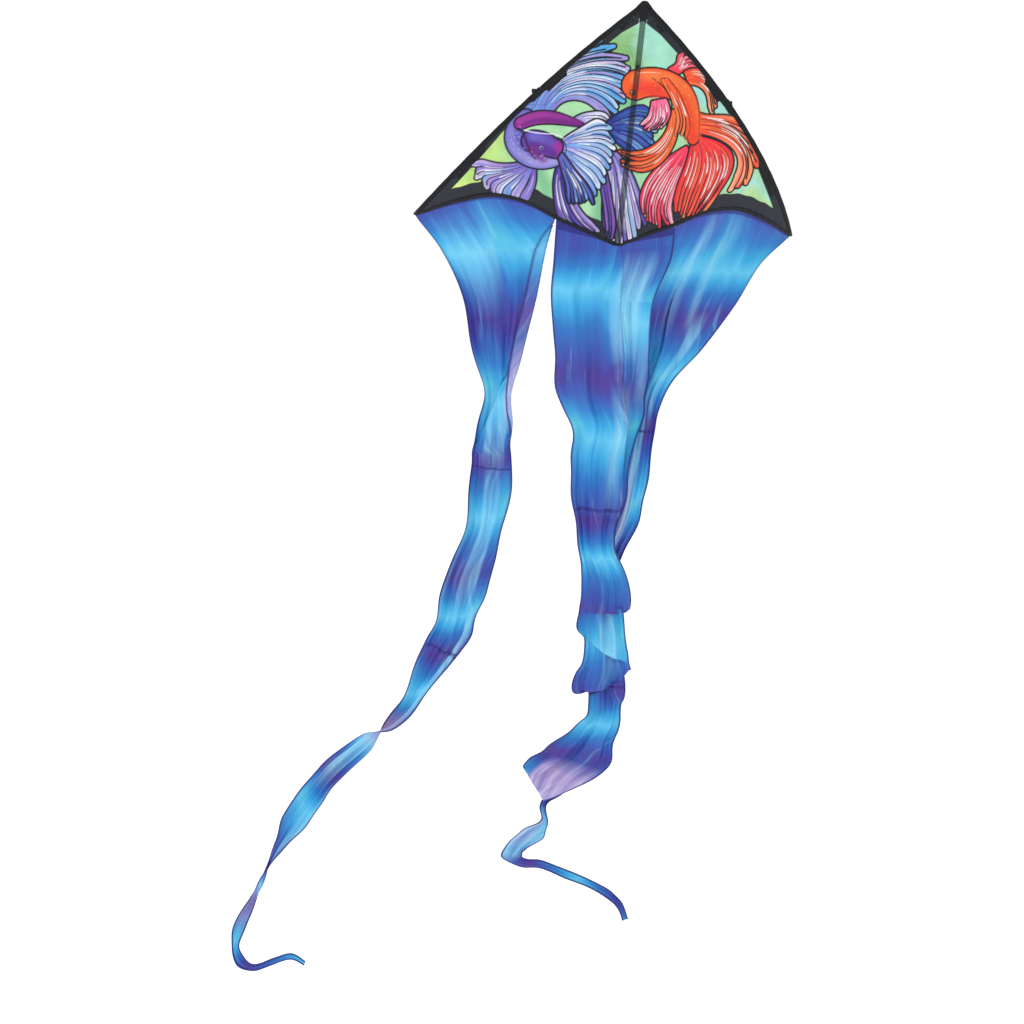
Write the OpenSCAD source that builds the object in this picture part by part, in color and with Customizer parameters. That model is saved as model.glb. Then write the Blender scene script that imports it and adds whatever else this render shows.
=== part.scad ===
// Single-line delta kite with a diamond-like outline, a spreader and three cloth tails.
// Upright as it flies: nose up, printed face towards -Y. The origin is the centre of the upper tow ring.

/* [Sail] */
// Length of the sail along the spine, nose to trailing edge
spine_len = 457; // [450:1:465]
// Distance of each wing tip from the spine
tip_x = 365; // [360:1:370]
// Distance of each wing tip below the nose
tip_drop = 445; // [440:1:450]
// How far each wing tip sweeps back
tip_back = 114; // [100:1:120]
// Thickness that stands for one layer of sail cloth
cloth_t = 0.8; // [0.6:0.1:1]

/* [Frame] */
// Radius of the leading edge rods
spar_r = 1.75; // [1.5:0.05:1.8]
// Radius of the spine rod
spine_r = 1.75; // [1.5:0.05:1.8]
// Radius of the spreader rod
spreader_r = 2; // [1.8:0.1:2]
// Half of the spreader's length
spreader_half = 190; // [188:1:192]

/* [Tow rings] */
// Bore radius of a tow ring
ring_bore_r = 2.5; // [2:0.1:2.8]
// Outer radius of a tow ring
ring_r = 4.4; // [4:0.1:4.6]
// Width of a tow ring along its bore
ring_w = 3; // [2:0.5:4]
// Drop of the upper ring below the nose
upper_ring_drop = 120; // [110:1:130]
// Drop of the lower ring below the nose
lower_ring_drop = 300; // [280:1:320]

/* [Tails] */
// Thickness that stands for the tail cloth
tail_t = 1.2; // [1:0.1:1.5]

/* [Hidden] */
$fn = 48;

sail_y = 6;              // the sail's plane at the spine stands this far behind the tow rings
hinge_x = 7.5;           // the wings fold along the two edges of the spine pocket
edge_control = [250, 213];  // the leading edge is a quadratic curve; this is its middle control
sweep_power = 2.2;       // the sweep grows with this power of the distance below the nose
sleeve_r = 5;
sleeve_bore_r = 2.4;
sleeve_inset = 6.4;      // the sail stops this far inside the leading edge rod
gap = 0.5;               // clear space between neighbouring pieces
foot_w = 6;              // the tow rings stand on a small foot sewn to the spine's cloth
foot_len = 9;
pocket_r = 3.8;
pocket_back = 3;         // the spine rod's axis behind the sail
pocket_bore_r = 2.2;
cap_r = 3.1;
cap_len = 10;
cap_wall = 3;
cap_lift = 2;            // the spine's end cap stands this far above the sail's lower corner
nose_len = 26;           // the nose patch reaches this far below the nose
fit_t = 0.41;            // place of the spreader fittings along the leading edge
clip_back = 6.7;         // the spreader's axis behind the leading edge rod
clip_r = 4;
clip_len = 30;
saddle_r = 4.4;
saddle_len = 16;
tail_drop = 1.8;         // the tails start this far below the sail's hem
slit_x = 115;            // the slits between the tails, from the spine

// Trailing edge of one wing, as distance from the spine and drop below the nose
trailing_edge = [[0, 457], [60, 438], [slit_x, 419], [165, 397], [210, 388], [245, 390],
    [290, 406], [320, 421], [365, 445]];

// Tails: each row is the tail's two edges, [x, y, z] of the left and of the right one
left_rows = [
    [[-310, 100, -385], [-125, 45, -360]], [[-260, 95, -475], [-135, 40, -455]],
    [[-240, 70, -565], [-145, 55, -555]], [[-205, 80, -650], [-160, 40, -640]],
    [[-220, 70, -735], [-150, 55, -730]], [[-215, 75, -790], [-145, 45, -785]],
    [[-220, 65, -905], [-145, 55, -905]], [[-240, 85, -1010], [-165, 50, -1005]],
    [[-255, 80, -1095], [-175, 65, -1085]], [[-270, 90, -1155], [-200, 65, -1150]],
    [[-295, 110, -1255], [-260, 75, -1245]], [[-318, 124, -1312], [-310, 84, -1314]],
    [[-342, 118, -1368], [-364, 114, -1336]], [[-390, 125, -1430], [-420, 140, -1400]],
    [[-425, 140, -1490], [-465, 155, -1465]], [[-450, 155, -1550], [-495, 160, -1535]],
    [[-488, 174, -1602], [-508, 154, -1588]], [[-514, 158, -1638], [-516, 182, -1664]],
    [[-538, 176, -1696], [-526, 172, -1708]], [[-560, 184, -1748], [-540, 174, -1754]],
    [[-564, 188, -1796], [-548, 180, -1800]], [[-552, 182, -1838], [-538, 176, -1820]],
    [[-520, 172, -1848], [-518, 170, -1832]], [[-486, 158, -1830], [-484, 158, -1814]],
    [[-452, 150, -1814], [-452, 148, -1800]], [[-426, 140, -1822], [-424, 138, -1812]]];
centre_rows = [
    [[-115, 20, -375], [110, 25, -360]], [[-115, 12, -440], [82, 12, -440]],
    [[-100, 5, -530], [85, 10, -530]], [[-85, 10, -615], [90, 5, -605]],
    [[-50, 15, -685], [85, 10, -670]], [[-40, 10, -755], [75, 15, -750]],
    [[-30, 10, -845], [70, 10, -845]], [[-5, 15, -930], [60, 0, -920]],
    [[10, 10, -995], [100, 10, -1005]], [[5, 15, -1065], [95, 0, -1060]],
    [[15, 0, -1120], [105, 10, -1120]], [[15, 10, -1180], [120, 5, -1175]],
    [[40, 5, -1230], [110, 10, -1225]], [[20, 10, -1280], [105, 5, -1290]],
    [[-30, 10, -1320], [95, 10, -1350]], [[-60, 5, -1340], [45, 10, -1395]],
    [[-70, 5, -1360], [-25, 5, -1425]]];
right_rows = [
    [[88, 35, -370], [300, 90, -375]], [[75, 35, -450], [250, 65, -455]],
    [[75, 35, -540], [195, 45, -535]], [[70, 38, -625], [130, 32, -620]],
    [[75, 40, -695], [120, 30, -695]], [[70, 38, -790], [115, 28, -785]],
    [[60, 38, -870], [110, 28, -865]], [[44, 42, -952], [82, 34, -948]],
    [[38, 46, -1054], [78, 40, -1050]], [[50, 42, -1155], [95, 50, -1155]],
    [[60, 46, -1254], [102, 50, -1258]], [[30, 50, -1330], [75, 52, -1360]],
    [[2, 52, -1402], [25, 54, -1425]], [[-18, 46, -1446], [-6, 42, -1446]],
    [[-18, 32, -1472], [0, 40, -1482]], [[-48, 26, -1488], [-10, 30, -1508]],
    [[-78, 24, -1514], [-42, 22, -1530]], [[-86, 28, -1548], [-50, 20, -1540]],
    [[-50, 22, -1566], [-38, 20, -1548]], [[-8, 22, -1568], [-8, 18, -1550]],
    [[40, 20, -1586], [48, 20, -1570]], [[88, 18, -1602], [90, 20, -1586]],
    [[124, 18, -1622], [130, 18, -1606]], [[150, 16, -1642], [158, 18, -1630]],
    [[162, 16, -1668], [174, 16, -1664]]];
left_seams = [5, 9];     // rows at which the left tail's lengths are sewn together
centre_seams = [1, 6];
right_seam = 4;

function mix(a, b, u) = a + (b - a) * u;
function unit(v) = v / norm(v);
// a smooth curve through four values, at u from the second to the third
function smooth(a, b, c, d, u) =
    b + 0.5 * u * (c - a + u * (2 * a - 5 * b + 4 * c - d + u * (3 * (b - c) + d - a)));
function pick(list, i) = list[max(0, min(len(list) - 1, i))];
function along(list, s) =
    let (i = min(floor(s), len(list) - 2))
    smooth(pick(list, i - 1), pick(list, i), pick(list, i + 1), pick(list, i + 2), s - i);
function span_index(list, x, i = 0) =
    i >= len(list) - 2 || x < list[i + 1][0] ? i : span_index(list, x, i + 1);
function trailing_drop(x) =
    let (i = span_index(trailing_edge, x), a = trailing_edge[i], b = trailing_edge[i + 1])
    smooth(pick(trailing_edge, i - 1)[1], a[1], b[1], pick(trailing_edge, i + 2)[1],
        (x - a[0]) / (b[0] - a[0]));

// The sail's surface, at a distance x from the spine and a drop below the nose
function sweep_back(x, drop) = tip_back * x / tip_x * pow(max(drop, 0) / tip_drop, sweep_power);
function sail_point(side, x, drop, back = 0) =
    [side * x, sail_y + sweep_back(x, drop) + back, upper_ring_drop - drop];
function edge_x(t) = 2 * t * (1 - t) * edge_control[0] + t * t * tip_x;
function edge_drop(t) = 2 * t * (1 - t) * edge_control[1] + t * t * tip_drop;
function edge_point(side, t) = sail_point(side, edge_x(t), edge_drop(t));
// The sail's own edge, as distance from the spine and drop, a little inside the leading edge rod
function sail_edge(t) =
    let (run = unit([edge_x(t + 0.01) - edge_x(t), edge_drop(t + 0.01) - edge_drop(t)]))
    [edge_x(t) - run[1] * sleeve_inset, edge_drop(t) + run[0] * sleeve_inset];
// u goes from the spine pocket to the leading edge, t from the nose to the trailing edge
function flat_point(u, t) = mix([hinge_x + gap, spine_len * t], sail_edge(t), u);
// Lifts the rows to the trailing edge's curve, and leaves those along the leading edge straight
function wing_point(side, u, t, back = 0) =
    let (at = flat_point(u, t), low = flat_point(u, 1), share = mix(pow(t, 3), pow(t, 30), pow(u, 8)))
    sail_point(side, at[0], at[1] + (trailing_drop(low[0]) - low[1]) * share, back);

// A closed solid between two grids of points with the same numbers of rows and columns
module shell(front, back) {
    rows = len(front);
    cols = len(front[0]);
    count = rows * cols;
    function id(r, c) = r * cols + c;
    faces = [
        for (r = [0:rows - 2], c = [0:cols - 2], k = [0, 1])
            k == 0 ? [id(r, c), id(r, c + 1), id(r + 1, c)]
                : [id(r, c + 1), id(r + 1, c + 1), id(r + 1, c)],
        for (r = [0:rows - 2], c = [0:cols - 2], k = [0, 1])
            k == 0 ? [count + id(r, c), count + id(r + 1, c), count + id(r, c + 1)]
                : [count + id(r, c + 1), count + id(r + 1, c), count + id(r + 1, c + 1)],
        for (c = [0:cols - 2], k = [0, 1])
            k == 0 ? [id(0, c), count + id(0, c), id(0, c + 1)]
                : [id(0, c + 1), count + id(0, c), count + id(0, c + 1)],
        for (c = [0:cols - 2], k = [0, 1])
            k == 0 ? [id(rows - 1, c), id(rows - 1, c + 1), count + id(rows - 1, c)]
                : [id(rows - 1, c + 1), count + id(rows - 1, c + 1), count + id(rows - 1, c)],
        for (r = [0:rows - 2], k = [0, 1])
            k == 0 ? [id(r, 0), id(r + 1, 0), count + id(r, 0)]
                : [id(r + 1, 0), count + id(r + 1, 0), count + id(r, 0)],
        for (r = [0:rows - 2], k = [0, 1])
            k == 0 ? [id(r, cols - 1), count + id(r, cols - 1), id(r + 1, cols - 1)]
                : [id(r + 1, cols - 1), count + id(r, cols - 1), count + id(r + 1, cols - 1)]];
    polyhedron([for (row = front) each row, for (row = back) each row], faces);
}

// A strip of the wing between two values of u and two of t
module wing_strip(side, u0, u1, t0, t1, cols, rows, thick = cloth_t, back = 0) {
    grid = function (off) [
        for (r = [0:rows]) [
            for (c = [0:cols]) wing_point(side, mix(u0, u1, c / cols), mix(t0, t1, r / rows), off)]];
    near = grid(back - thick / 2);
    far = grid(back + thick / 2);
    if (side > 0) shell(near, far);
    else shell(far, near);
}

// A tube, or a rod where the bore is 0, along the leading edge
module edge_tube(side, t0, t1, outer_r, bore_r, steps, sides = 12) {
    ring = function (t, r) let (
        at = edge_point(side, t),
        run = unit(edge_point(side, t + 0.01) - edge_point(side, t - 0.01)),
        across = unit(cross([0, 1, 0], run)),
        out = cross(run, across))
        [for (k = [0:sides]) at + r * (cos(360 * k / sides) * across + sin(360 * k / sides) * out)];
    outer = [for (i = [0:steps]) ring(mix(t0, t1, i / steps), outer_r)];
    inner = [for (i = [0:steps]) ring(mix(t0, t1, i / steps), bore_r)];
    tube_points = [for (row = outer) for (k = [0:sides - 1]) row[k],
        for (row = inner) for (k = [0:sides - 1]) row[k]];
    n = (steps + 1) * sides;
    function id(i, k) = i * sides + k % sides;
    outside = [
        for (i = [0:steps - 1], k = [0:sides - 1], h = [0, 1])
            h == 0 ? [id(i, k), id(i, k + 1), id(i + 1, k)]
                : [id(i, k + 1), id(i + 1, k + 1), id(i + 1, k)]];
    walls = [each outside,
        for (i = [0:steps - 1], k = [0:sides - 1], h = [0, 1])
            h == 0 ? [n + id(i, k), n + id(i + 1, k), n + id(i, k + 1)]
                : [n + id(i, k + 1), n + id(i + 1, k), n + id(i + 1, k + 1)],
        for (k = [0:sides - 1], h = [0, 1])
            h == 0 ? [id(0, k), n + id(0, k), id(0, k + 1)]
                : [id(0, k + 1), n + id(0, k), n + id(0, k + 1)],
        for (k = [0:sides - 1], h = [0, 1])
            h == 0 ? [id(steps, k), id(steps, k + 1), n + id(steps, k)]
                : [id(steps, k + 1), n + id(steps, k + 1), n + id(steps, k)]];
    solid_points = [for (row = outer) for (k = [0:sides - 1]) row[k],
        edge_point(side, t0), edge_point(side, t1)];
    solid_walls = [each outside,
        for (k = [0:sides - 1]) [n, id(0, k + 1), id(0, k)],
        for (k = [0:sides - 1]) [n + 1, id(steps, k), id(steps, k + 1)]];
    if (bore_r > 0) polyhedron(tube_points, walls);
    else polyhedron(solid_points, solid_walls);
}

// Turns +Z along the leading edge at t and moves to the place there
module at_edge(side, t) {
    run = unit(edge_point(side, t + 0.005) - edge_point(side, t - 0.005));
    translate(edge_point(side, t))
    rotate([0, 0, atan2(run[1], run[0])])
    rotate([0, acos(run[2]), 0])
    children();
}

// One length of a tail, from row s0 to row s1; its first row follows the sail's hem where s0 is 0
module tail_length(rows, s0, s1, top, cols = 4, per_row = 3, u0 = 0, u1 = 1) {
    lefts = [top[0], for (row = rows) row[0]];
    rights = [top[1], for (row = rows) row[1]];
    function place(u, s) =
        let (flat = mix(along(lefts, s), along(rights, s), u),
            x = mix(top[0][0], top[1][0], u),
            hem = sail_point(sign(x), abs(x), trailing_drop(abs(x)) + tail_drop)
                - mix(top[0], top[1], u))
        flat + hem * pow(max(0, 1 - s), 2);
    function face(u, s) =
        let (e = 0.02, du = place(min(u + e, 1), s) - place(max(u - e, 0), s),
            ds = place(u, s + e) - place(u, max(s - e, 0)))
        unit(cross(du, ds));
    steps = ceil((s1 - s0) * per_row);
    grid = function (off) [
        for (r = [0:steps]) let (s = mix(s0, s1, r / steps)) [
            for (c = [0:cols]) let (u = mix(u0, u1, c / cols)) place(u, s) + off * face(u, s)]];
    shell(grid(tail_t / 2), grid(-tail_t / 2));
}
function hem_corner(x) = sail_point(sign(x), abs(x), trailing_drop(abs(x)) + tail_drop);
seam_gap = 0.02;         // part of a row left open at each seam

module spine() {
    color("#1d1d1f")
    translate([0, sail_y + pocket_back, upper_ring_drop - spine_len + cap_lift + cap_wall + 1])
    cylinder(r = spine_r, h = spine_len - nose_len - cap_wall - cap_lift);
}

module spine_pocket() {
    color("#26282c")
    translate([0, sail_y, upper_ring_drop - spine_len + cap_lift + cap_len])
    linear_extrude(spine_len - nose_len - cap_len - cap_lift - 1)
    difference() {
        union() {
            translate([-hinge_x, -cloth_t / 2]) square([2 * hinge_x, cloth_t]);
            translate([0, pocket_back]) circle(pocket_r);
        }
        translate([0, pocket_back]) circle(pocket_bore_r);
        translate([-pocket_r, -cloth_t / 2 - pocket_r]) square([2 * pocket_r, pocket_r]);
    }
}

module spine_end_cap() {
    color("#0e0e10")
    translate([0, sail_y + pocket_back, upper_ring_drop - spine_len + cap_lift])
    difference() {
        cylinder(r = cap_r, h = cap_len - 1);
        translate([0, 0, cap_wall]) cylinder(r = spine_r + 0.05, h = cap_len);
    }
}

module nose_patch() {
    color("#15171c")
    translate([0, sail_y + 1, upper_ring_drop])
    rotate([90, 0, 0])
    linear_extrude(2)
    polygon([[-5, 3], [5, 3], [15, -10], [7, -16], [7, -nose_len], [-7, -nose_len], [-7, -16], [-15, -10]]);
}

// A moulded ring on a sewn foot, its bore along X
module tow_ring(drop) {
    color("#2a2b30")
    translate([0, 0, upper_ring_drop - drop])
    difference() {
        union() {
            rotate([0, 90, 0]) cylinder(r = ring_r, h = ring_w, center = true);
            translate([-ring_w / 2, ring_bore_r + 0.5, -2]) cube([ring_w, sail_y - ring_bore_r - 1.7, 4]);
            translate([-foot_w / 2, sail_y - 1.8, -foot_len / 2]) cube([foot_w, 0.9, foot_len]);
        }
        rotate([0, 90, 0]) cylinder(r = ring_bore_r, h = ring_w + 8, center = true);
    }
}

module sail(side, shade) {
    color(shade) wing_strip(side, 0, 1, 0.055, 0.96, 12, 20);
}

module trailing_hem(side) {
    color("#15171c") wing_strip(side, 0, 1, 0.965, 1, 24, 2, 1.2);
}

module leading_edge_sleeve(side) {
    color("#15171c") {
        edge_tube(side, 0.04, fit_t - 0.026, sleeve_r, sleeve_bore_r, 9);
        edge_tube(side, fit_t + 0.026, 0.968, sleeve_r, sleeve_bore_r, 14);
    }
}

module leading_edge_spar(side) {
    color("#1d1d1f") edge_tube(side, 0.045, 0.985, spar_r, 0, 28);
}

module spar_end_cap(side) {
    color("#0e0e10")
    at_edge(side, 0.985)
    difference() {
        translate([0, 0, -5]) cylinder(r = cap_r, h = cap_len);
        translate([0, 0, -6]) cylinder(r = spar_r + 0.15, h = 8);
    }
}

module fitting_patch(side) {
    color("#2a2e36") wing_strip(side, 0.8, 0.985, fit_t - 0.07, fit_t + 0.06, 4, 4, cloth_t, 1.2);
}

module tip_patch(side) {
    color("#2a2e36") wing_strip(side, 0.84, 0.985, 0.86, 0.955, 4, 4, cloth_t, 1.2);
}

spreader_y = edge_point(1, fit_t)[1] + clip_back;
spreader_z = edge_point(1, fit_t)[2];

module spreader() {
    color("#1d1d1f")
    translate([0, spreader_y, spreader_z])
    rotate([0, 90, 0])
    cylinder(r = spreader_r, h = 2 * (spreader_half - 8), center = true);
}

// A vinyl tube on the spreader's end, with a saddle that presses on the leading edge rod
module spreader_clip(side) {
    color("#0e0e10")
    difference() {
        union() {
            translate([side * (spreader_half - clip_len / 2), spreader_y, spreader_z])
            rotate([0, 90, 0])
            cylinder(r = clip_r, h = clip_len, center = true);
            intersection() {
                at_edge(side, fit_t) cylinder(r = saddle_r, h = saddle_len, center = true);
                translate([side * edge_x(fit_t) - 20, spreader_y - clip_back, spreader_z - 20])
                cube([40, 20, 40]);
            }
        }
        translate([side * (spreader_half - clip_len / 2), spreader_y, spreader_z])
        rotate([0, 90, 0])
        translate([0, 0, -side * 4])
        cylinder(r = spreader_r + 0.05, h = clip_len, center = true);
        at_edge(side, fit_t) cylinder(r = spar_r + 0.35, h = 40, center = true);
    }
}

module tail_left(s0, s1) {
    color("#2f8fd8")
    tail_length(left_rows, s0, s1, [hem_corner(-tip_x + 2), hem_corner(-slit_x - 1)], s0 == 0 ? 12 : 3);
}

module tail_centre(s0, s1, u0 = 0, u1 = 1) {
    color("#2a6fc4")
    tail_length(centre_rows, s0, s1, [hem_corner(-slit_x + 1), hem_corner(slit_x - 1)],
        s0 == 0 ? 8 : 4, 3, u0, u1);
}

module tail_right(s0, s1) {
    color("#3a9be0")
    tail_length(right_rows, s0, s1, [hem_corner(slit_x + 1), hem_corner(tip_x - 2)], s0 == 0 ? 12 : 3);
}

spine();
spine_pocket();
spine_end_cap();
nose_patch();
tow_ring(upper_ring_drop);  // tow_ring_upper
tow_ring(lower_ring_drop);  // tow_ring_lower
sail(-1, "#6c62b8");  // sail_left
sail(1, "#ee5a35");  // sail_right
trailing_hem(-1);  // trailing_hem_left
trailing_hem(1);  // trailing_hem_right
leading_edge_sleeve(-1);  // leading_edge_sleeve_left
leading_edge_sleeve(1);  // leading_edge_sleeve_right
leading_edge_spar(-1);  // leading_edge_spar_left
leading_edge_spar(1);  // leading_edge_spar_right
spar_end_cap(-1);  // spar_end_cap_left
spar_end_cap(1);  // spar_end_cap_right
fitting_patch(-1);  // fitting_patch_left
fitting_patch(1);  // fitting_patch_right
tip_patch(-1);  // tip_patch_left
tip_patch(1);  // tip_patch_right
spreader();
spreader_clip(-1);  // spreader_clip_left
spreader_clip(1);  // spreader_clip_right
tail_left(0, left_seams[0] + 1 - seam_gap);  // tail_left_top
tail_left(left_seams[0] + 1 + seam_gap, left_seams[1] + 1 - seam_gap);  // tail_left_middle
tail_left(left_seams[1] + 1 + seam_gap, len(left_rows));  // tail_left_end
tail_centre(0, centre_seams[0] + 1 - seam_gap, 0, 0.497);  // tail_centre_gore_left
tail_centre(0, centre_seams[0] + 1 - seam_gap, 0.503, 1);  // tail_centre_gore_right
tail_centre(centre_seams[0] + 1 + seam_gap, centre_seams[1] + 1 - seam_gap);  // tail_centre_top
tail_centre(centre_seams[1] + 1 + seam_gap, len(centre_rows));  // tail_centre_end
tail_right(0, right_seam + 1 - seam_gap);  // tail_right_top
tail_right(right_seam + 1 + seam_gap, len(right_rows));  // tail_right_end
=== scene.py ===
"""A single-line delta kite: printed sail, rod frame and three cloth tails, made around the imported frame."""
import math

import bpy
import numpy as np
from mathutils import Matrix, Vector


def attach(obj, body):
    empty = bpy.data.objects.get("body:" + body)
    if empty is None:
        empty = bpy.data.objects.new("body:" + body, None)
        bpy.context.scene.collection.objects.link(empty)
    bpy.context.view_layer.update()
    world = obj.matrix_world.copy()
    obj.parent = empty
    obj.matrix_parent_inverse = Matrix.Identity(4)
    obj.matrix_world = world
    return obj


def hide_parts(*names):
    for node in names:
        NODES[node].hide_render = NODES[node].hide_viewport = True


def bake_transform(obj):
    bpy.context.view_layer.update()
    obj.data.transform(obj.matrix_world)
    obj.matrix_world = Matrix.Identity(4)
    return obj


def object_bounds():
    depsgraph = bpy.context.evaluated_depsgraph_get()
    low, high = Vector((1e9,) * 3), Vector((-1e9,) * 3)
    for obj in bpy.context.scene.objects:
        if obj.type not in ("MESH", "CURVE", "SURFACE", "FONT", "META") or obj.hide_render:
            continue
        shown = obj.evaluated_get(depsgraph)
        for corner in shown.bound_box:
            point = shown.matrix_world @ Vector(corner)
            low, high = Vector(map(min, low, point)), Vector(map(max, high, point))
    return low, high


bl_info = {
    "name": "Delta Kite",
    "version": (1, 0, 0),
    "blender": (4, 5, 0),
    "location": "3D View > Sidebar > Kite",
    "description": "Makes the cloth, seams, finishes and studio of a small delta kite",
    "category": "Object",
}

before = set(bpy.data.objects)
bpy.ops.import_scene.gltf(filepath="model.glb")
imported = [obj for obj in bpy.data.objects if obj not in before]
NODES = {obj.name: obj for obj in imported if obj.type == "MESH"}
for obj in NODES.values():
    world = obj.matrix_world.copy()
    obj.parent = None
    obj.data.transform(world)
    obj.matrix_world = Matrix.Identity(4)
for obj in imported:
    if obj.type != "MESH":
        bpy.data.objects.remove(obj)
CAD_BOX = [[float(v) for v in corner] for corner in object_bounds()]

MM = 0.001
SAIL_Y = 6.0             # the sail's plane at the spine, behind the tow rings
NOSE_Z = 120.0
HINGE_X = 7.5
SLEEVE_INSET = 5.6
FITTING_T = 0.41         # place of the spreader fittings along the leading edge
FITTING_GAP = 0.026
EDGE_CONTROL = (250.0, 213.0)
SWEEP_POWER = 2.2
SLIT_X = 115.0
TAIL_DROP = 0.8          # the tails' rows start this far below the sail's hem
EDGE_STITCH_INSET = 7.4  # how far inside the leading edge its sleeve is stitched down
TRAILING_EDGE = np.array([
    (0, 457), (60, 438), (SLIT_X, 419), (165, 397), (210, 388), (245, 390), (290, 406), (320, 421),
    (365, 445)], float)

LEFT_ROWS = [
    [[-310, 100, -385], [-125, 45, -360]], [[-260, 95, -475], [-135, 40, -455]],
    [[-240, 70, -565], [-145, 55, -555]], [[-205, 80, -650], [-160, 40, -640]],
    [[-220, 70, -735], [-150, 55, -730]], [[-215, 75, -790], [-145, 45, -785]],
    [[-220, 65, -905], [-145, 55, -905]], [[-240, 85, -1010], [-165, 50, -1005]],
    [[-255, 80, -1095], [-175, 65, -1085]], [[-270, 90, -1155], [-200, 65, -1150]],
    [[-295, 110, -1255], [-260, 75, -1245]], [[-318, 124, -1312], [-310, 84, -1314]],
    [[-342, 118, -1368], [-364, 114, -1336]], [[-390, 125, -1430], [-420, 140, -1400]],
    [[-425, 140, -1490], [-465, 155, -1465]], [[-450, 155, -1550], [-495, 160, -1535]],
    [[-488, 174, -1602], [-508, 154, -1588]], [[-514, 158, -1638], [-516, 182, -1664]],
    [[-538, 176, -1696], [-526, 172, -1708]], [[-560, 184, -1748], [-540, 174, -1754]],
    [[-564, 188, -1796], [-548, 180, -1800]], [[-552, 182, -1838], [-538, 176, -1820]],
    [[-520, 172, -1848], [-518, 170, -1832]], [[-486, 158, -1830], [-484, 158, -1814]],
    [[-452, 150, -1814], [-452, 148, -1800]], [[-426, 140, -1822], [-424, 138, -1812]]]
CENTRE_ROWS = [
    [[-115, 20, -375], [110, 25, -360]], [[-115, 12, -440], [82, 12, -440]],
    [[-100, 5, -530], [85, 10, -530]], [[-85, 10, -615], [90, 5, -605]],
    [[-50, 15, -685], [85, 10, -670]], [[-40, 10, -755], [75, 15, -750]],
    [[-30, 10, -845], [70, 10, -845]], [[-5, 15, -930], [60, 0, -920]],
    [[10, 10, -995], [100, 10, -1005]], [[5, 15, -1065], [95, 0, -1060]],
    [[15, 0, -1120], [105, 10, -1120]], [[15, 10, -1180], [120, 5, -1175]],
    [[40, 5, -1230], [110, 10, -1225]], [[20, 10, -1280], [105, 5, -1290]],
    [[-30, 10, -1320], [95, 10, -1350]], [[-60, 5, -1340], [45, 10, -1395]],
    [[-70, 5, -1360], [-25, 5, -1425]]]
RIGHT_ROWS = [
    [[88, 35, -370], [300, 90, -375]], [[75, 35, -450], [250, 65, -455]],
    [[75, 35, -540], [195, 45, -535]], [[70, 38, -625], [130, 32, -620]],
    [[75, 40, -695], [120, 30, -695]], [[70, 38, -790], [115, 28, -785]],
    [[60, 38, -870], [110, 28, -865]], [[44, 42, -952], [82, 34, -948]],
    [[38, 46, -1054], [78, 40, -1050]], [[50, 42, -1155], [95, 50, -1155]],
    [[60, 46, -1254], [102, 50, -1258]], [[30, 50, -1330], [75, 52, -1360]],
    [[2, 52, -1402], [25, 54, -1425]], [[-18, 46, -1446], [-6, 42, -1446]],
    [[-18, 32, -1472], [0, 40, -1482]], [[-48, 26, -1488], [-10, 30, -1508]],
    [[-78, 24, -1514], [-42, 22, -1530]], [[-86, 28, -1548], [-50, 20, -1540]],
    [[-50, 22, -1566], [-38, 20, -1548]], [[-8, 22, -1568], [-8, 18, -1550]],
    [[40, 20, -1586], [48, 20, -1570]], [[88, 18, -1602], [90, 20, -1586]],
    [[124, 18, -1622], [130, 18, -1606]], [[150, 16, -1642], [158, 18, -1630]],
    [[162, 16, -1668], [174, 16, -1664]]]


def linear(code, alpha=1.0):
    """A colour given as a hex code, in linear light."""
    parts = [int(code[i:i + 2], 16) / 255 for i in (1, 3, 5)]
    return tuple(p / 12.92 if p <= 0.04045 else ((p + 0.055) / 1.055) ** 2.4 for p in parts) + (alpha,)


# ---------------------------------------------------------------- settings

class KiteShape(bpy.types.PropertyGroup):
    """Sizes of the cloth parts."""
    tip_x: bpy.props.FloatProperty(
        name="Tip distance", description="Distance of each wing tip from the spine", default=0.365,
        unit="LENGTH")
    tip_drop: bpy.props.FloatProperty(
        name="Tip drop", description="Distance of each wing tip below the nose", default=0.445,
        unit="LENGTH")
    tip_back: bpy.props.FloatProperty(
        name="Tip sweep", description="How far each wing tip sweeps back", default=0.114, unit="LENGTH")
    spine: bpy.props.FloatProperty(
        name="Spine", description="Length of the sail along the spine", default=0.457, unit="LENGTH")
    border: bpy.props.FloatProperty(
        name="Border", description="Width of the black border along the leading edge", default=0.019,
        unit="LENGTH")
    stitch: bpy.props.FloatProperty(
        name="Stitch spacing", description="Distance from one stitch to the next", default=0.0036,
        unit="LENGTH")


class KiteColours(bpy.types.PropertyGroup):
    """Colours of the cloth."""
    border: bpy.props.FloatVectorProperty(
        name="Border", description="Cloth of the border", subtype="COLOR", size=4, default=linear("#24282f"))
    hem: bpy.props.FloatVectorProperty(
        name="Hem", description="Tape and sleeves", subtype="COLOR", size=4, default=linear("#101216"))
    thread: bpy.props.FloatVectorProperty(
        name="Thread", description="Sewing thread", subtype="COLOR", size=4, default=linear("#16181c"))
    tail_dark: bpy.props.FloatVectorProperty(
        name="Tail, dark", description="Dark bands of the tails", subtype="COLOR", size=4,
        default=linear("#2c54b0"))
    tail_bright: bpy.props.FloatVectorProperty(
        name="Tail, bright", description="Bright bands of the tails", subtype="COLOR", size=4,
        default=linear("#60c6ee"))


def shape():
    return bpy.context.scene.kite_shape


def colours():
    return bpy.context.scene.kite_colours


# ---------------------------------------------------------------- shader maths

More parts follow.
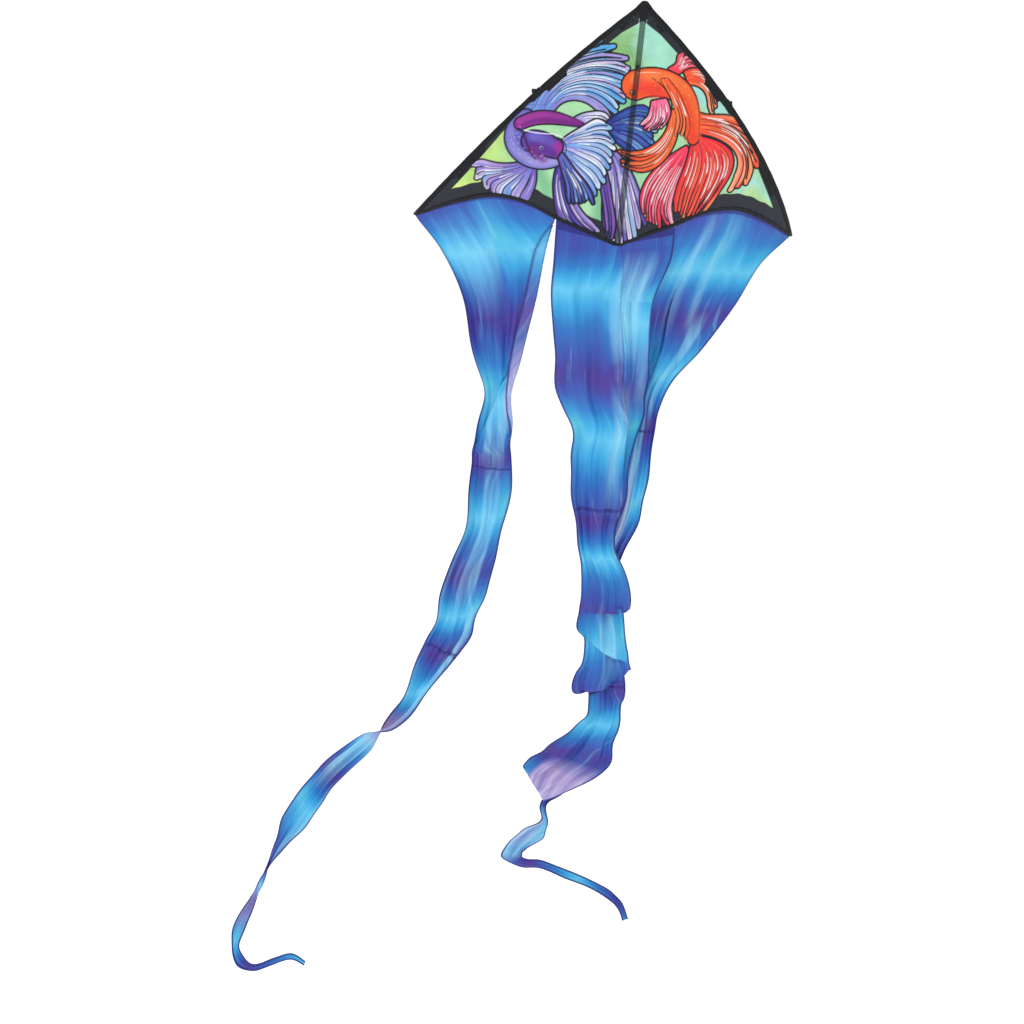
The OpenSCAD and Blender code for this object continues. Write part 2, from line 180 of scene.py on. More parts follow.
class Wire:
    """An output socket whose arithmetic adds Math nodes."""

    def __init__(self, graph, socket):
        self.graph = graph
        self.socket = socket

    def math(self, operation, *values):
        return self.graph.add("ShaderNodeMath", {"operation": operation}, self, *values)

    def __add__(self, other):
        return self.math("ADD", other)

    __radd__ = __add__

    def __mul__(self, other):
        return self.math("MULTIPLY", other)

    __rmul__ = __mul__

    def __sub__(self, other):
        return self.math("SUBTRACT", other)

    def __rsub__(self, other):
        return self.graph.add("ShaderNodeMath", {"operation": "SUBTRACT"}, other, self)

    def __truediv__(self, other):
        return self.math("DIVIDE", other)

    def step(self, low, high):
        """0 below low, 1 above high, smooth between them."""
        return self.graph.add(
            "ShaderNodeMapRange", {"interpolation_type": "SMOOTHSTEP"},
            **{"Value": self, "From Min": low, "From Max": high})


class Graph:
    """A material's node tree."""

    def __init__(self, name):
        self.material = bpy.data.materials.new(name)
        self.material.use_nodes = True
        self.tree = self.material.node_tree
        self.tree.nodes.clear()

    def add(self, kind, settings=None, *values, out=0, **named):
        """Adds a node: its settings first, then its inputs by place or name. Gives the output asked for."""
        node = self.tree.nodes.new(kind)
        for key, value in (settings or {}).items():
            if key == "stops":
                self.fill_ramp(node.color_ramp, value)
            else:
                setattr(node, key, value)
        for place, value in enumerate(values):
            self.put(node.inputs[place], value)
        for key, value in named.items():
            self.put(next(s for s in node.inputs if s.name == key and s.enabled), value)
        return Wire(self, [s for s in node.outputs if s.enabled][out]) if node.outputs else node

    def put(self, socket, value):
        if isinstance(value, Wire):
            self.tree.links.new(value.socket, socket)
        else:
            socket.default_value = value

    @staticmethod
    def fill_ramp(ramp, stops):
        while len(ramp.elements) < len(stops):
            ramp.elements.new(1.0)
        for element, (place, colour) in zip(ramp.elements, stops):
            element.position = place
            element.color = colour

    def blend(self, factor, a, b, mode="MIX"):
        return self.add(
            "ShaderNodeMix", {"data_type": "RGBA", "blend_type": mode}, Factor=factor, A=a, B=b)

    def attribute(self, name, out=0):
        return self.add("ShaderNodeAttribute", {"attribute_name": name}, out=out)

    def noise(self, vector, scale, detail=3.0, out=0, **more):
        return self.add("ShaderNodeTexNoise", None, out=out, Vector=vector, Scale=scale, Detail=detail,
                        **more)

    def scaled(self, vector, x, y, z):
        return self.add("ShaderNodeVectorMath", {"operation": "MULTIPLY"}, vector, (x, y, z))

    def finish(self, colour, roughness, height=None, bump=0.3, depth=0.001, **constants):
        """The surface shader. Numbers that are the same all over go straight on its sockets."""
        bsdf = self.tree.nodes.new("ShaderNodeBsdfPrincipled")
        self.put(bsdf.inputs["Base Color"], colour)
        self.put(bsdf.inputs["Roughness"], roughness)
        for key, value in constants.items():
            bsdf.inputs[key.replace("_", " ")].default_value = value
        if height is not None:
            normal = self.add("ShaderNodeBump", None, Strength=bump, Distance=depth, Height=height)
            self.put(bsdf.inputs["Normal"], normal)
        output = self.tree.nodes.new("ShaderNodeOutputMaterial")
        self.tree.links.new(bsdf.outputs[0], output.inputs["Surface"])
        return self.material


def ripstop(graph, uv, cell):
    """The weave's fine threads and the heavier grid of reinforcing threads, as a height."""
    fine = graph.add(
        "ShaderNodeTexChecker", None, Vector=uv, Scale=2200.0, out=1)
    places = graph.add("ShaderNodeSeparateXYZ", None, uv)
    across = graph.add("ShaderNodeSeparateXYZ", None, uv, out=1)
    grid = None
    for axis in (places, across):
        cell_place = (axis / cell).math("FRACT")
        line = 1.0 - (cell_place - 0.5).math("ABSOLUTE").step(0.40, 0.47)
        line = 1.0 - line
        grid = line if grid is None else grid.math("MAXIMUM", line)
    return grid * 0.8 + fine * 0.2, grid


def printed_cloth():
    """Printed ripstop: the print is painted on the mesh, and the weave and slight unevenness are added."""
    g = Graph("printed_cloth")
    paint = g.attribute("print")
    uv = g.add("ShaderNodeUVMap")
    height, grid = ripstop(g, uv, 0.005)
    wash = g.noise(uv, 38.0, 5.0)
    wet = g.noise(uv, 260.0, 2.0)
    shade = g.add("ShaderNodeMapRange", None, wash, 0.3, 0.7, 0.9, 1.08)
    shade = shade - grid * 0.05 + (wet - 0.5) * 0.06
    colour = g.add("ShaderNodeVectorMath", {"operation": "SCALE"}, Vector=paint, Scale=shade)
    return g.finish(
        colour, 0.46 + grid * 0.1 - (wash - 0.5) * 0.15, height, 0.18, 0.0004,
        Sheen_Weight=0.06, Sheen_Roughness=0.35, Specular_IOR_Level=0.25)


def border_cloth(name="border_cloth", tone=None, cell=0.005):
    g = Graph(name)
    uv = g.add("ShaderNodeUVMap")
    place = g.add("ShaderNodeTexCoord", None, out=3)
    height, grid = ripstop(g, uv, cell)
    wear = g.noise(place, 60.0, 4.0)
    lighter = [min(1.0, 1.35 * c + 0.001) for c in tone[:3]] + [1.0]
    colour = g.blend(wear.step(0.35, 0.75) * 0.6 + grid * 0.15, tone, lighter)
    return g.finish(
        colour, 0.52 + (wear - 0.5) * 0.2, height, 0.25, 0.0005, Sheen_Weight=0.05, Sheen_Roughness=0.4,
        Specular_IOR_Level=0.2)


def tail_cloth():
    """Thin dyed cloth: bands of blue that fade into each other along the tail, with streaky ends. Painted
    highlights, painted highlight streaks and painted shade along a crease lie over the dye, and the paler
    reverse side is partly painted highlight.
    """
    c = colours()
    g = Graph("tail_cloth")
    uv = g.add("ShaderNodeUVMap")
    band, pale = g.attribute("band", out=2), g.attribute("pale", out=2)
    edge, light = g.attribute("edge", out=2), g.attribute("light", out=2)
    streaks = g.noise(g.scaled(uv, 70.0, 6.0, 1.0), 1.0, 4.0)
    wide = g.noise(g.scaled(uv, 12.0, 4.0, 1.0), 1.0, 2.0)
    phase = (band + (streaks - 0.5) * 0.15 + (wide - 0.5) * 0.22).math("FRACT")
    dark, bright = tuple(c.tail_dark), tuple(c.tail_bright)
    violet = linear("#4a3296")
    ramp = g.add("ShaderNodeValToRGB", {"stops": [
        (0.00, violet), (0.06, linear("#40389c")), (0.15, dark), (0.27, linear("#1f78c6")),
        (0.39, linear("#32aae2")),
        (0.50, bright), (0.61, linear("#32a8e0")), (0.73, linear("#1d74c4")), (0.85, dark),
        (0.94, linear("#43349a")),
        (1.00, violet)]}, phase)
    cooler = g.add("ShaderNodeValToRGB", {"stops": [
        (0.00, linear("#33409f")), (0.14, linear("#2c62b8")), (0.30, linear("#2b98d2")),
        (0.42, linear("#52bfda")),
        (0.55, linear("#3aa6dc")), (0.70, linear("#2a78c4")), (0.86, linear("#3350ae")),
        (1.00, linear("#33409f"))]},
        phase)
    mixed = g.blend(wide.step(0.44, 0.64), ramp, cooler)
    # Painted highlights: paler cyan streaks laid over the dye where the streak noise is high.
    highlight_streaked = g.blend(streaks.step(0.56, 0.78) * 0.26, mixed, linear("#8fdcf8"))
    # Painted highlights: the light attribute, broken up by the streaks, lifts the cloth towards whitish cyan.
    lit = g.blend(light * (0.35 + streaks.step(0.35, 0.7) * 0.65), highlight_streaked, linear("#9adcf6"))
    # The paler lilac reverse side of the cloth, together with painted whitish highlights on folded edges.
    lilac = g.blend(streaks.step(0.3, 0.7), linear("#a98fcb"), linear("#dccbea"))
    with_reverse_and_highlight = g.blend(pale, lit, lilac)
    # Dark indigo rolled edges, seams and top hem; the same colour paints shade along the centre tail's
    # crease.
    hems_and_crease_shade = g.blend(edge * 0.9, with_reverse_and_highlight, linear("#20217c"))
    height, grid = ripstop(g, uv, 0.0045)
    wrinkle = g.noise(g.scaled(uv, 60.0, 14.0, 1.0), 1.0, 3.0)
    return g.finish(
        hems_and_crease_shade, 0.4 + grid * 0.06 + (streaks - 0.5) * 0.12, height * 0.15 + wrinkle, 0.35, 0.003,
        Sheen_Weight=0.18, Sheen_Roughness=0.3, Sheen_Tint=(0.75, 0.9, 1.0, 1.0), Specular_IOR_Level=0.4)


def rod_finish():
    """Pultruded fibreglass: lengthwise streaks under a satin resin."""
    g = Graph("fibreglass_rod")
    place = g.add("ShaderNodeTexCoord", None, out=3)
    grain = g.noise(g.scaled(place, 900.0, 900.0, 60.0), 1.0, 5.0)
    scuff = g.noise(place, 220.0, 3.0)
    colour = g.blend(grain.step(0.35, 0.75), linear("#101113"), linear("#2b2d31"))
    return g.finish(colour, 0.3 + scuff.step(0.4, 0.8) * 0.3, grain, 0.2, 0.0002, Coat_Weight=0.15)


def vinyl_finish():
    g = Graph("soft_vinyl")
    place = g.add("ShaderNodeTexCoord", None, out=3)
    grain = g.noise(place, 2600.0, 3.0)
    bloom = g.noise(place, 180.0, 4.0)
    colour = g.blend(bloom.step(0.4, 0.8), linear("#0f0f10"), linear("#2a2a2c"))
    return g.finish(colour, 0.5 + bloom.step(0.35, 0.75) * 0.25, grain, 0.25, 0.0002)


def ring_finish():
    g = Graph("moulded_nylon")
    place = g.add("ShaderNodeTexCoord", None, out=3)
    grain = g.noise(place, 1500.0, 4.0)
    colour = g.blend(grain.step(0.3, 0.8), linear("#1b1c20"), linear("#303238"))
    return g.finish(colour, 0.38 + (grain - 0.5) * 0.2, grain, 0.15, 0.0002)


def thread_finish():
    g = Graph("sewing_thread")
    place = g.add("ShaderNodeTexCoord", None, out=3)
    twist = g.add("ShaderNodeTexWave", {"bands_direction": "DIAGONAL"}, Vector=place, Scale=900.0,
                  Distortion=1.0)
    colour = g.blend(twist, tuple(colours().thread), linear("#4a4d57"))
    return g.finish(colour, 0.6, twist, 0.4, 0.0002, Sheen_Weight=0.3)


MATERIALS = {}


def material(name):
    makers = {
        "print": printed_cloth, "tail": tail_cloth, "rod": rod_finish, "vinyl": vinyl_finish,
        "ring": ring_finish, "thread": thread_finish,
        "border": lambda: border_cloth("border_cloth", tuple(colours().border)),
        "hem": lambda: border_cloth("hem_tape", tuple(colours().hem), 0.003)}
    if name not in MATERIALS:
        MATERIALS[name] = makers[name]()
    return MATERIALS[name]


# ---------------------------------------------------------------- the wing's surface

def catmull(a, b, c, d, u):
    return b + 0.5 * u * (c - a + u * (2 * a - 5 * b + 4 * c - d + u * (3 * (b - c) + d - a)))


def along(values, s):
    """A smooth curve through values, read at each s."""
    values = np.asarray(values, float)
    s = np.asarray(s, float)
    i = np.clip(np.floor(s).astype(int), 0, len(values) - 2)
    at = [values[np.clip(i + k, 0, len(values) - 1)] for k in (-1, 0, 1, 2)]
    return catmull(*at, (s - i)[..., None])


def trailing_drop(x):
    """Drop of the trailing edge below the nose, at a distance from the spine."""
    x = np.clip(np.asarray(x, float), 0, TRAILING_EDGE[-1, 0])
    i = np.clip(np.searchsorted(TRAILING_EDGE[:, 0], x, side="right") - 1, 0, len(TRAILING_EDGE) - 2)
    at = [TRAILING_EDGE[np.clip(i + k, 0, len(TRAILING_EDGE) - 1)] for k in (-1, 0, 1, 2)]
    u = (x - at[1][..., 0]) / (at[2][..., 0] - at[1][..., 0])
    return catmull(*[p[..., 1] for p in at], u)


def edge_xd(t):
    """Distance from the spine and drop below the nose of the leading edge at t."""
    s = shape()
    t = np.asarray(t, float)
    return (2 * t * (1 - t) * EDGE_CONTROL[0] + t * t * s.tip_x / MM,
            2 * t * (1 - t) * EDGE_CONTROL[1] + t * t * s.tip_drop / MM)


def sail_point(side, x, drop, back=0.0):
    """A point of the sail's surface, in metres."""
    s = shape()
    x = np.asarray(x, float)
    sweep = s.tip_back / MM * x / (s.tip_x / MM) * (np.maximum(drop, 0) / (s.tip_drop / MM)) ** SWEEP_POWER
    return np.stack([side * x, SAIL_Y + sweep + back, NOSE_Z - drop + 0 * x], -1) * MM


def sail_edge(t, inset):
    """Distance and drop of the sail's own edge, a little inside the leading edge rod."""
    x, d = edge_xd(t)
    x2, d2 = edge_xd(np.asarray(t) + 0.01)
    long = np.hypot(x2 - x, d2 - d)
    return x - (d2 - d) / long * inset, d + (x2 - x) / long * inset


def wing_xd(u, t, inner=HINGE_X, inset=SLEEVE_INSET):
    """Distance and drop at u from the spine pocket to the leading edge and t from nose to trailing edge."""
    spine = shape().spine / MM
    ex, ed = sail_edge(t, inset)
    low_x, low_d = sail_edge(1.0, inset)
    low_x = inner + (low_x - inner) * u
    low_d = spine + (low_d - spine) * u
    share = t ** 3 + (t ** 30 - t ** 3) * u ** 8
    return inner + (ex - inner) * u, spine * t + (ed
                                                  - spine * t) * u + (trailing_drop(low_x) - low_d) * share


def billow(x, drop):
    """Small unevenness of taut cloth: soft puckers that run to the corners and along the seams."""
    wave = 0.9 * np.sin(x * 0.035 + drop * 0.011) + 0.5 * np.sin(x * 0.021 - drop * 0.06 + 1.0)
    pucker = 0.35 * np.sin(drop * 0.52 + x * 0.2) * np.exp(-((x - HINGE_X) / 14.0) ** 2)
    hem = trailing_drop(x) - drop
    pucker = pucker + 0.45 * np.sin(x * 0.42) * np.exp(-(np.maximum(hem, 0) / 22.0) ** 2)
    calm = np.clip((x - HINGE_X) / 30.0, 0, 1)
    return wave * calm + pucker * np.clip((x - HINGE_X) / 3.0, 0, 1)


# ---------------------------------------------------------------- the print

def bezier(points, n=18):
    """A smooth line from its three or four control points."""
    p = np.asarray(points, float)
    t = np.linspace(0, 1, n)[:, None]
    rows = [np.repeat(q[None], n, axis=0) for q in p]
    while len(rows) > 1:
        rows = [a * (1 - t) + b * t for a, b in zip(rows, rows[1:])]
    return rows[0]


def between(guides, v):
    """Control points between two guide lines, or through three, at v."""
    g = [np.asarray(points, float) for points in guides]
    if len(g) == 2:
        return g[0] + (g[1] - g[0]) * v
    bulge = g[1] - (g[0] + g[2]) / 2
    return g[0] + (g[2] - g[0]) * v + bulge * 4 * v * (1 - v)


class Painting:
    """Brush strokes on scattered places of the sail, in millimetres from the spine and below the nose."""

    def __init__(self, places):
        self.p = places
        self.rgb = np.empty((len(places), 3))
        self.rgb[:] = linear(GROUND)[:3]

    def lay(self, line, w0, w1, colour, tip=None, strength=1.0, soft=0.9, belly=0.0, ink=0.0, sharp=0.0):
        """One stroke along a line, half width w0 at the start, w1 at the end and belly more between."""
        reach = max(w0, w1) + abs(belly) + soft + ink + 1
        low, high = line.min(0) - reach, line.max(0) + reach
        near = np.nonzero(((self.p > low) & (self.p < high)).all(1))[0]
        if not len(near):
            return
        q = self.p[near]
        best = np.full(len(q), 1e9)
        place = np.zeros(len(q))
        n = len(line) - 1
        for i, (a, b) in enumerate(zip(line[:-1], line[1:])):
            d = b - a
            k = np.clip(((q - a) @ d) / max(d @ d, 1e-9), 0, 1)
            away = np.hypot(*(q - a - k[:, None] * d).T)
            closer = away < best
            best[closer] = away[closer]
            place[closer] = (i + k[closer]) / n
        width = w0 + (w1 - w0) * place + belly * np.sin(np.pi * place)
        width = width * (1 - sharp * np.clip((place - 0.84) / 0.16, 0, 1)) + ink
        cover = np.clip((width - best) / soft + 0.5, 0, 1) * strength
        first = np.array(linear(colour)[:3])
        last = np.array(linear(tip)[:3]) if tip else first
        tone = first + (last - first) * place[:, None]
        self.rgb[near] += (tone - self.rgb[near]) * cover[:, None]

    def wash(self, colour, strokes, width, strength):
        """Broad soft strokes of watercolour."""
        for stroke in strokes:
            self.lay(bezier(stroke), width, width * 0.7, colour, strength=strength, soft=width * 1.1)

    def fin(self, guides, rays, inner, outer, seed=0, inked=3.6, glint=0.7, fray=0.08):
        """A long fin: rays drawn between its guide lines, inked round the outside and frayed at the rim."""
        rng = np.random.default_rng(seed)
        v = (np.arange(rays) + 0.5) / rays
        lines = []
        for k in v:
            control = between(guides, k)
            tip = control[-1] + (control[-1] - control[0]) * rng.uniform(-fray, fray)
            line = bezier([*control[:-1], tip], 16)
            run = np.gradient(line, axis=0)
            square = np.stack([run[:, 1], -run[:, 0]], 1) / np.hypot(*run.T)[:, None]
            t = np.linspace(0, 1, len(line))
            lines.append(line + square * (2.2 * t * np.sin(7.5 * t + seed + 0.9 * k))[:, None])
        ends = np.array([line[-1] for line in lines])
        starts = np.array([line[0] for line in lines])
        w1 = 0.64 * np.hypot(*np.diff(ends, axis=0).T).mean()
        w0 = 0.7 * np.hypot(*np.diff(starts, axis=0).T).mean() + 0.7
        middles = np.array([line[8] for line in lines])
        belly = 0.64 * np.hypot(*np.diff(middles, axis=0).T).mean() - (w0 + w1) / 2
        belly = max(belly, -0.3 * min(w0, w1))
        for line in lines:
            self.lay(line, w0, w1, INK, belly=belly, ink=inked, sharp=0.7)
        for k, line in enumerate(lines):
            self.lay(line, w0, w1, inner[k % len(inner)], outer[k % len(outer)], soft=1.6, belly=belly,
                     sharp=0.7)
            self.lay(line[4:], w0 * 0.2, w1 * 0.3, outer[(k + 1) % len(outer)], inner[(k + 2) % len(inner)],
                     strength=0.6, soft=1.8, sharp=0.9)
        for a, b in zip(lines, lines[1:]):
            gap = (a + b) / 2
            first = int(rng.integers(1, 6))
            self.lay(gap[first:], 0.4, 1.5, INK)
        for k, (a, b) in enumerate(zip(lines, lines[1:])):
            if rng.random() < glint:
                share = rng.uniform(0.15, 0.4)
                first = int(rng.integers(2, 7))
                self.lay((a + (b - a) * share)[first:first + int(rng.integers(5, 10))], 0.3,
                         rng.uniform(0.8, 1.6),
                         "#ffffff", strength=0.8, soft=1.3, sharp=1.0)

    def body(self, line, w0, w1, belly, dark, mid, light):
        """A fish's body: an inked taper with a lit back and a shaded belly."""
        self.lay(line, w0, w1, INK, belly=belly, ink=3.4)
        self.lay(line, w0, w1, mid, dark, belly=belly, soft=1.4)
        run = np.gradient(line, axis=0)
        side = np.stack([run[:, 1], -run[:, 0]], 1) / np.hypot(*run.T)[:, None]
        self.lay(line + side * (w0 * 0.42), w0 * 0.4, w1 * 0.4, light, mid, strength=0.7, belly=belly * 0.4,
                 soft=7)
        self.lay(line - side * (w0 * 0.5), w0 * 0.3, w1 * 0.3, dark, strength=0.6, belly=belly * 0.3, soft=6)

    def dashes(self, line, colour, count, spread, size=0.8):
        """Short marks that stand for scales."""
        for k in range(count):
            at = line[int((0.15 + 0.7 * k / count) * (len(line) - 1))]
            step = np.array([spread * ((k * 0.618) % 1 - 0.5), spread * ((k * 0.382) % 1 - 0.5)])
            self.lay(np.array([at + step, at + step + (1.8, 1.2)]), size, size * 0.6, colour, strength=0.6)

    def eye(self, at, radius, iris):
        at = np.asarray(at, float)
        for r, colour in ((radius + 1.2, INK), (radius, iris), (radius * 0.6, "#0b0c10")):
            self.lay(np.array([at, at + (0.3, 0.0)]), r, r, colour)
        self.lay(np.array([at + (-0.9, -1.1), at + (-0.5, -1.1)]), 0.8, 0.8, "#ffffff")


GROUND = "#a3d6a6"
INK = "#14171d"


def paint_ground(p):
    """Green and mint watercolour, lighter and yellower towards the tips."""
    p.wash("#86b878", [[(-80, 60), (-40, 80), (0, 60)], [(-60, 95), (-30, 100), (0, 90)]], 20, 0.85)
    p.wash("#7fae5c", [[(-60, 112), (-30, 108), (0, 118)]], 9, 0.5)
    for k in range(9):
        x = -74 + 8 * k
        p.wash("#5f9a4c", [[(x, 74 + k), (x + 14, 92), (x + 26, 122 + 2 * k)]], 1.6, 0.5)
    p.wash("#9fdcc8", [[(12, 40), (30, 70), (60, 95)], [(10, 70), (30, 100), (50, 118)]], 22, 0.9)
    p.wash("#b8dc7a", [[(-320, 390), (-270, 340), (-230, 250)], [(-300, 400), (-260, 370), (-230, 330)]], 30,
           0.9)
    p.wash("#d9ea8c", [[(-300, 380), (-275, 372), (-250, 360)], [(-260, 330), (-245, 322), (-235, 330)]], 10,
           0.7)
    p.wash("#9fd8d8", [[(110, 150), (140, 180), (180, 190)], [(240, 330), (270, 345), (290, 360)]], 18, 0.8)
    p.wash("#b4dc92", [[(255, 350), (290, 370), (305, 395)], [(60, 210), (80, 240), (60, 270)]], 14, 0.85)
    p.wash("#76b88c", [[(-160, 330), (-140, 360), (-130, 400)], [(-50, 340), (-35, 380), (-40, 430)],
                       [(-40, 190), (-20, 180), (0, 190)]], 14, 0.8)


def paint_violet_fish(p):
    sky = ["#7d78c8", "#5a8fd8", "#6f6cc4", "#4f9fe0", "#8a7fd0", "#4a8ad4"]
    sky_rim = ["#a99ad8", "#7fc0ee", "#c9b4e0", "#5aaee8", "#b9d8f4", "#6cb6ee"]
    indigo, indigo_rim = ["#26268a", "#33309c", "#1f2a80"], ["#3550b8", "#4a90dc", "#3a4ab0", "#7fb6ea"]
    lilac, lilac_rim = ["#6a50ae", "#7d5cb4", "#5466c4"], ["#c4b2e2", "#8f7cd0", "#e4dcf2", "#6fb0e8"]
    p.fin([[(-232, 236), (-228, 186), (-172, 122), (-106, 80)],
           [(-182, 222), (-176, 150), (-110, 108), (-16, 132)],
           [(-150, 214), (-136, 178), (-92, 168), (-42, 222)]], 19, sky, sky_rim, seed=1, glint=0.9)
    p.fin([[(-104, 222), (-84, 206), (-66, 204), (-40, 218)],
           [(-98, 232), (-80, 226), (-60, 230), (-34, 240)]],
          4, ["#8f8cd0", "#a99ad8"], ["#f2f2fa", "#c9d8f2"], seed=2)
    p.fin([[(-44, 226), (-26, 204), (0, 196), (34, 188)], [(-42, 236), (-10, 222), (20, 228), (48, 246)],
           [(-40, 244), (-20, 266), (0, 286), (26, 290)]], 9, indigo, indigo_rim, seed=3, glint=0.35)
    p.fin([[(-186, 312), (-214, 332), (-248, 318), (-274, 322)],
           [(-180, 322), (-214, 346), (-246, 350), (-238, 374)],
           [(-166, 318), (-156, 344), (-158, 372), (-168, 394)]], 10, lilac, lilac_rim, seed=4)
    p.fin([[(-124, 312), (-134, 366), (-116, 404), (-96, 422)],
           [(-106, 320), (-104, 372), (-70, 408), (-26, 444)]],
          5, ["#3a2c94", "#5a3fa4", "#2b2b8c"], ["#6a50b4", "#b9a2dc", "#3a44ac"], seed=5, glint=0.6)
    p.fin([[(-44, 290), (-40, 330), (-30, 390), (-22, 438)], [(-30, 284), (-6, 330), (2, 396), (14, 450)],
           [(-20, 284), (16, 320), (40, 360), (52, 404)]], 9,
          ["#5a4aa8", "#7b5fb4", "#8f86cc"], ["#4a44a8", "#efe9f8", "#9fd0f2", "#c9b8e4"], seed=6,
          glint=0.95)
    p.fin([[(-58, 318), (-40, 340), (-26, 380), (-26, 424)],
           [(-42, 312), (-24, 346), (-14, 390), (-12, 438)]], 3,
          ["#6a48a8", "#33309a"], ["#8f60b8", "#3a34a0"], seed=7, glint=0.3)
    back = bezier([(-128, 296), (-176, 330), (-246, 268), (-196, 226)], 30)
    p.body(back, 17, 13, 3, "#5f5ab8", "#7a74c6", "#a9a6e0")
    saddle = bezier([(-204, 240), (-170, 216), (-130, 226), (-92, 234)], 20)
    p.body(saddle, 11, 3, 4, "#6a1c78", "#8f2690", "#a8409c")
    head = bezier([(-178, 272), (-160, 270), (-140, 284), (-126, 286)], 20)
    p.body(head, 19, 15, 2, "#5a2a8c", "#5f3aa0", "#6c6cc8")
    p.wash("#a02a92", [[(-130, 278), (-122, 286), (-124, 298)]], 8, 0.85)
    p.wash("#7a2488", [[(-176, 288), (-168, 300), (-152, 306)]], 8, 0.8)
    p.dashes(back, "#d6d2f4", 22, 16)
    p.fin([[(-122, 266), (-100, 246), (-78, 230), (-54, 222)],
           [(-116, 276), (-90, 268), (-56, 268), (-30, 292)],
           [(-118, 292), (-94, 318), (-70, 346), (-52, 372)]], 12,
          ["#a9a2da", "#6f6cc4", "#5a9fe0", "#8a7fd0"], ["#f4f4fb", "#8cc8f2", "#c9d8f4", "#5aa2e4"], seed=8,
          glint=0.95)
    p.fin([[(-120, 292), (-94, 320), (-70, 346), (-52, 374)],
           [(-124, 302), (-110, 330), (-104, 356), (-98, 378)]], 7,
          ["#6a50b4", "#4848ac", "#5a86d4"], ["#2b2b8c", "#7fb6ec", "#33309a"], seed=9, glint=0.8)
    p.lay(bezier([(-138, 262), (-122, 262), (-112, 274), (-114, 290)]), 1.6, 0.8, INK)
    p.lay(bezier([(-206, 250), (-190, 262), (-186, 290), (-168, 306)]), 1.5, 1.2, INK)
    p.lay(bezier([(-196, 252), (-160, 262), (-140, 250), (-122, 262)]), 1.0, 0.8, "#e8e4f6", strength=0.9)
    p.eye((-160, 284), 4.6, "#7a6cc4")


def paint_orange_fish(p):
    flame, flame_rim = ["#f0532a", "#ee3d30", "#f4702f"], ["#f79a68", "#f2542c", "#fbb28a", "#ee3a30"]
    rose, rose_rim = ["#ec2a3c", "#e8344f", "#f0432f"], ["#ee2f3c", "#f2662e", "#d8263c", "#f58a4a"]
    p.fin([[(60, 120), (74, 112), (78, 100), (76, 88)], [(80, 124), (92, 112), (104, 108), (120, 112)]], 5,
          ["#ee3a4a", "#e83a5c"], ["#f0566c", "#f8a0b0"], seed=21)
    p.fin([[(92, 122), (116, 108), (140, 118), (170, 162)],
           [(104, 144), (136, 140), (146, 172), (150, 198)]], 6,
          ["#ee4030", "#f2602c"], ["#f58a5a", "#ee4a34", "#f7a87c"], seed=22)
    p.fin([[(122, 198), (146, 214), (176, 200), (204, 204)],
           [(124, 216), (186, 210), (236, 250), (252, 292)],
           [(126, 236), (200, 238), (262, 290), (206, 352)]], 11, flame, flame_rim, seed=23, glint=0.8)
    p.fin([[(112, 264), (64, 290), (28, 326), (40, 392)], [(114, 268), (84, 318), (56, 362), (72, 412)],
           [(118, 274), (108, 330), (84, 380), (112, 408)]], 10,
          ["#e8263c", "#ee3a50", "#f0487a"], ["#e82f5c", "#f8c4d4", "#ee3040", "#f06a94"], seed=24,
          glint=1.0)
    p.fin([[(122, 240), (120, 296), (106, 340), (104, 396)],
           [(132, 244), (190, 290), (160, 352), (140, 404)],
           [(140, 246), (250, 262), (206, 330), (156, 386)]], 13, rose, rose_rim, seed=25, glint=0.7)
    p.fin([[(72, 196), (82, 246), (44, 292), (-18, 274)], [(86, 200), (102, 268), (66, 330), (2, 304)]], 6,
          ["#f0562a", "#f47a3a"], ["#f0562a", "#f79a60", "#ee4a2c"], seed=26, glint=0.9)
    trunk = bezier([(2, 152), (50, 132), (112, 150), (112, 204), (124, 250)], 30)
    p.body(trunk, 27, 9, 2, "#ea4526", "#f05a26", "#f78a4a")
    p.wash("#ee3838", [[(10, 150), (30, 156), (52, 176)]], 14, 0.6)
    p.fin([[(60, 140), (96, 170), (112, 204), (110, 244)], [(48, 140), (78, 178), (92, 210), (88, 246)]], 4,
          ["#ee4a2a", "#f26a30"], ["#f0562c", "#f58a50"], seed=27, glint=0.4, inked=1.4)
    p.fin([[(34, 184), (36, 200), (30, 210), (18, 220)], [(50, 180), (58, 200), (56, 216), (46, 236)],
           [(60, 178), (72, 192), (68, 204), (66, 214)]], 8,
          ["#ee5a84", "#f07a9c"], ["#f8b4c8", "#ea3f74", "#f490ae"], seed=28, glint=1.0)
    p.lay(bezier([(30, 138), (56, 150), (74, 172), (74, 196)]), 0.8, 1.7, INK)
    p.lay(bezier([(-28, 168), (-22, 172), (-14, 170)]), 1.4, 0.6, INK)
    p.lay(bezier([(0, 130), (20, 126), (44, 128)]), 0.8, 0.4, "#ffd8b8", strength=0.9)
    p.dashes(trunk, "#ffc89a", 18, 22, 0.6)
    p.eye((-5, 167), 4.8, "#b8622c")


def edge_distance(x, drop, count=80):
    """Distance to the nearest leading edge."""
    line = np.stack(edge_xd(np.linspace(0, 1, count)), 1)
    away = np.full(len(x), 1e9)
    for a, b in zip(line[:-1], line[1:]):
        run = b - a
        place = np.clip(((x - a[0]) * run[0] + (drop - a[1]) * run[1]) / (run @ run), 0, 1)
        away = np.minimum(away, np.hypot(x - a[0] - place * run[0], drop - a[1] - place * run[1]))
    return away


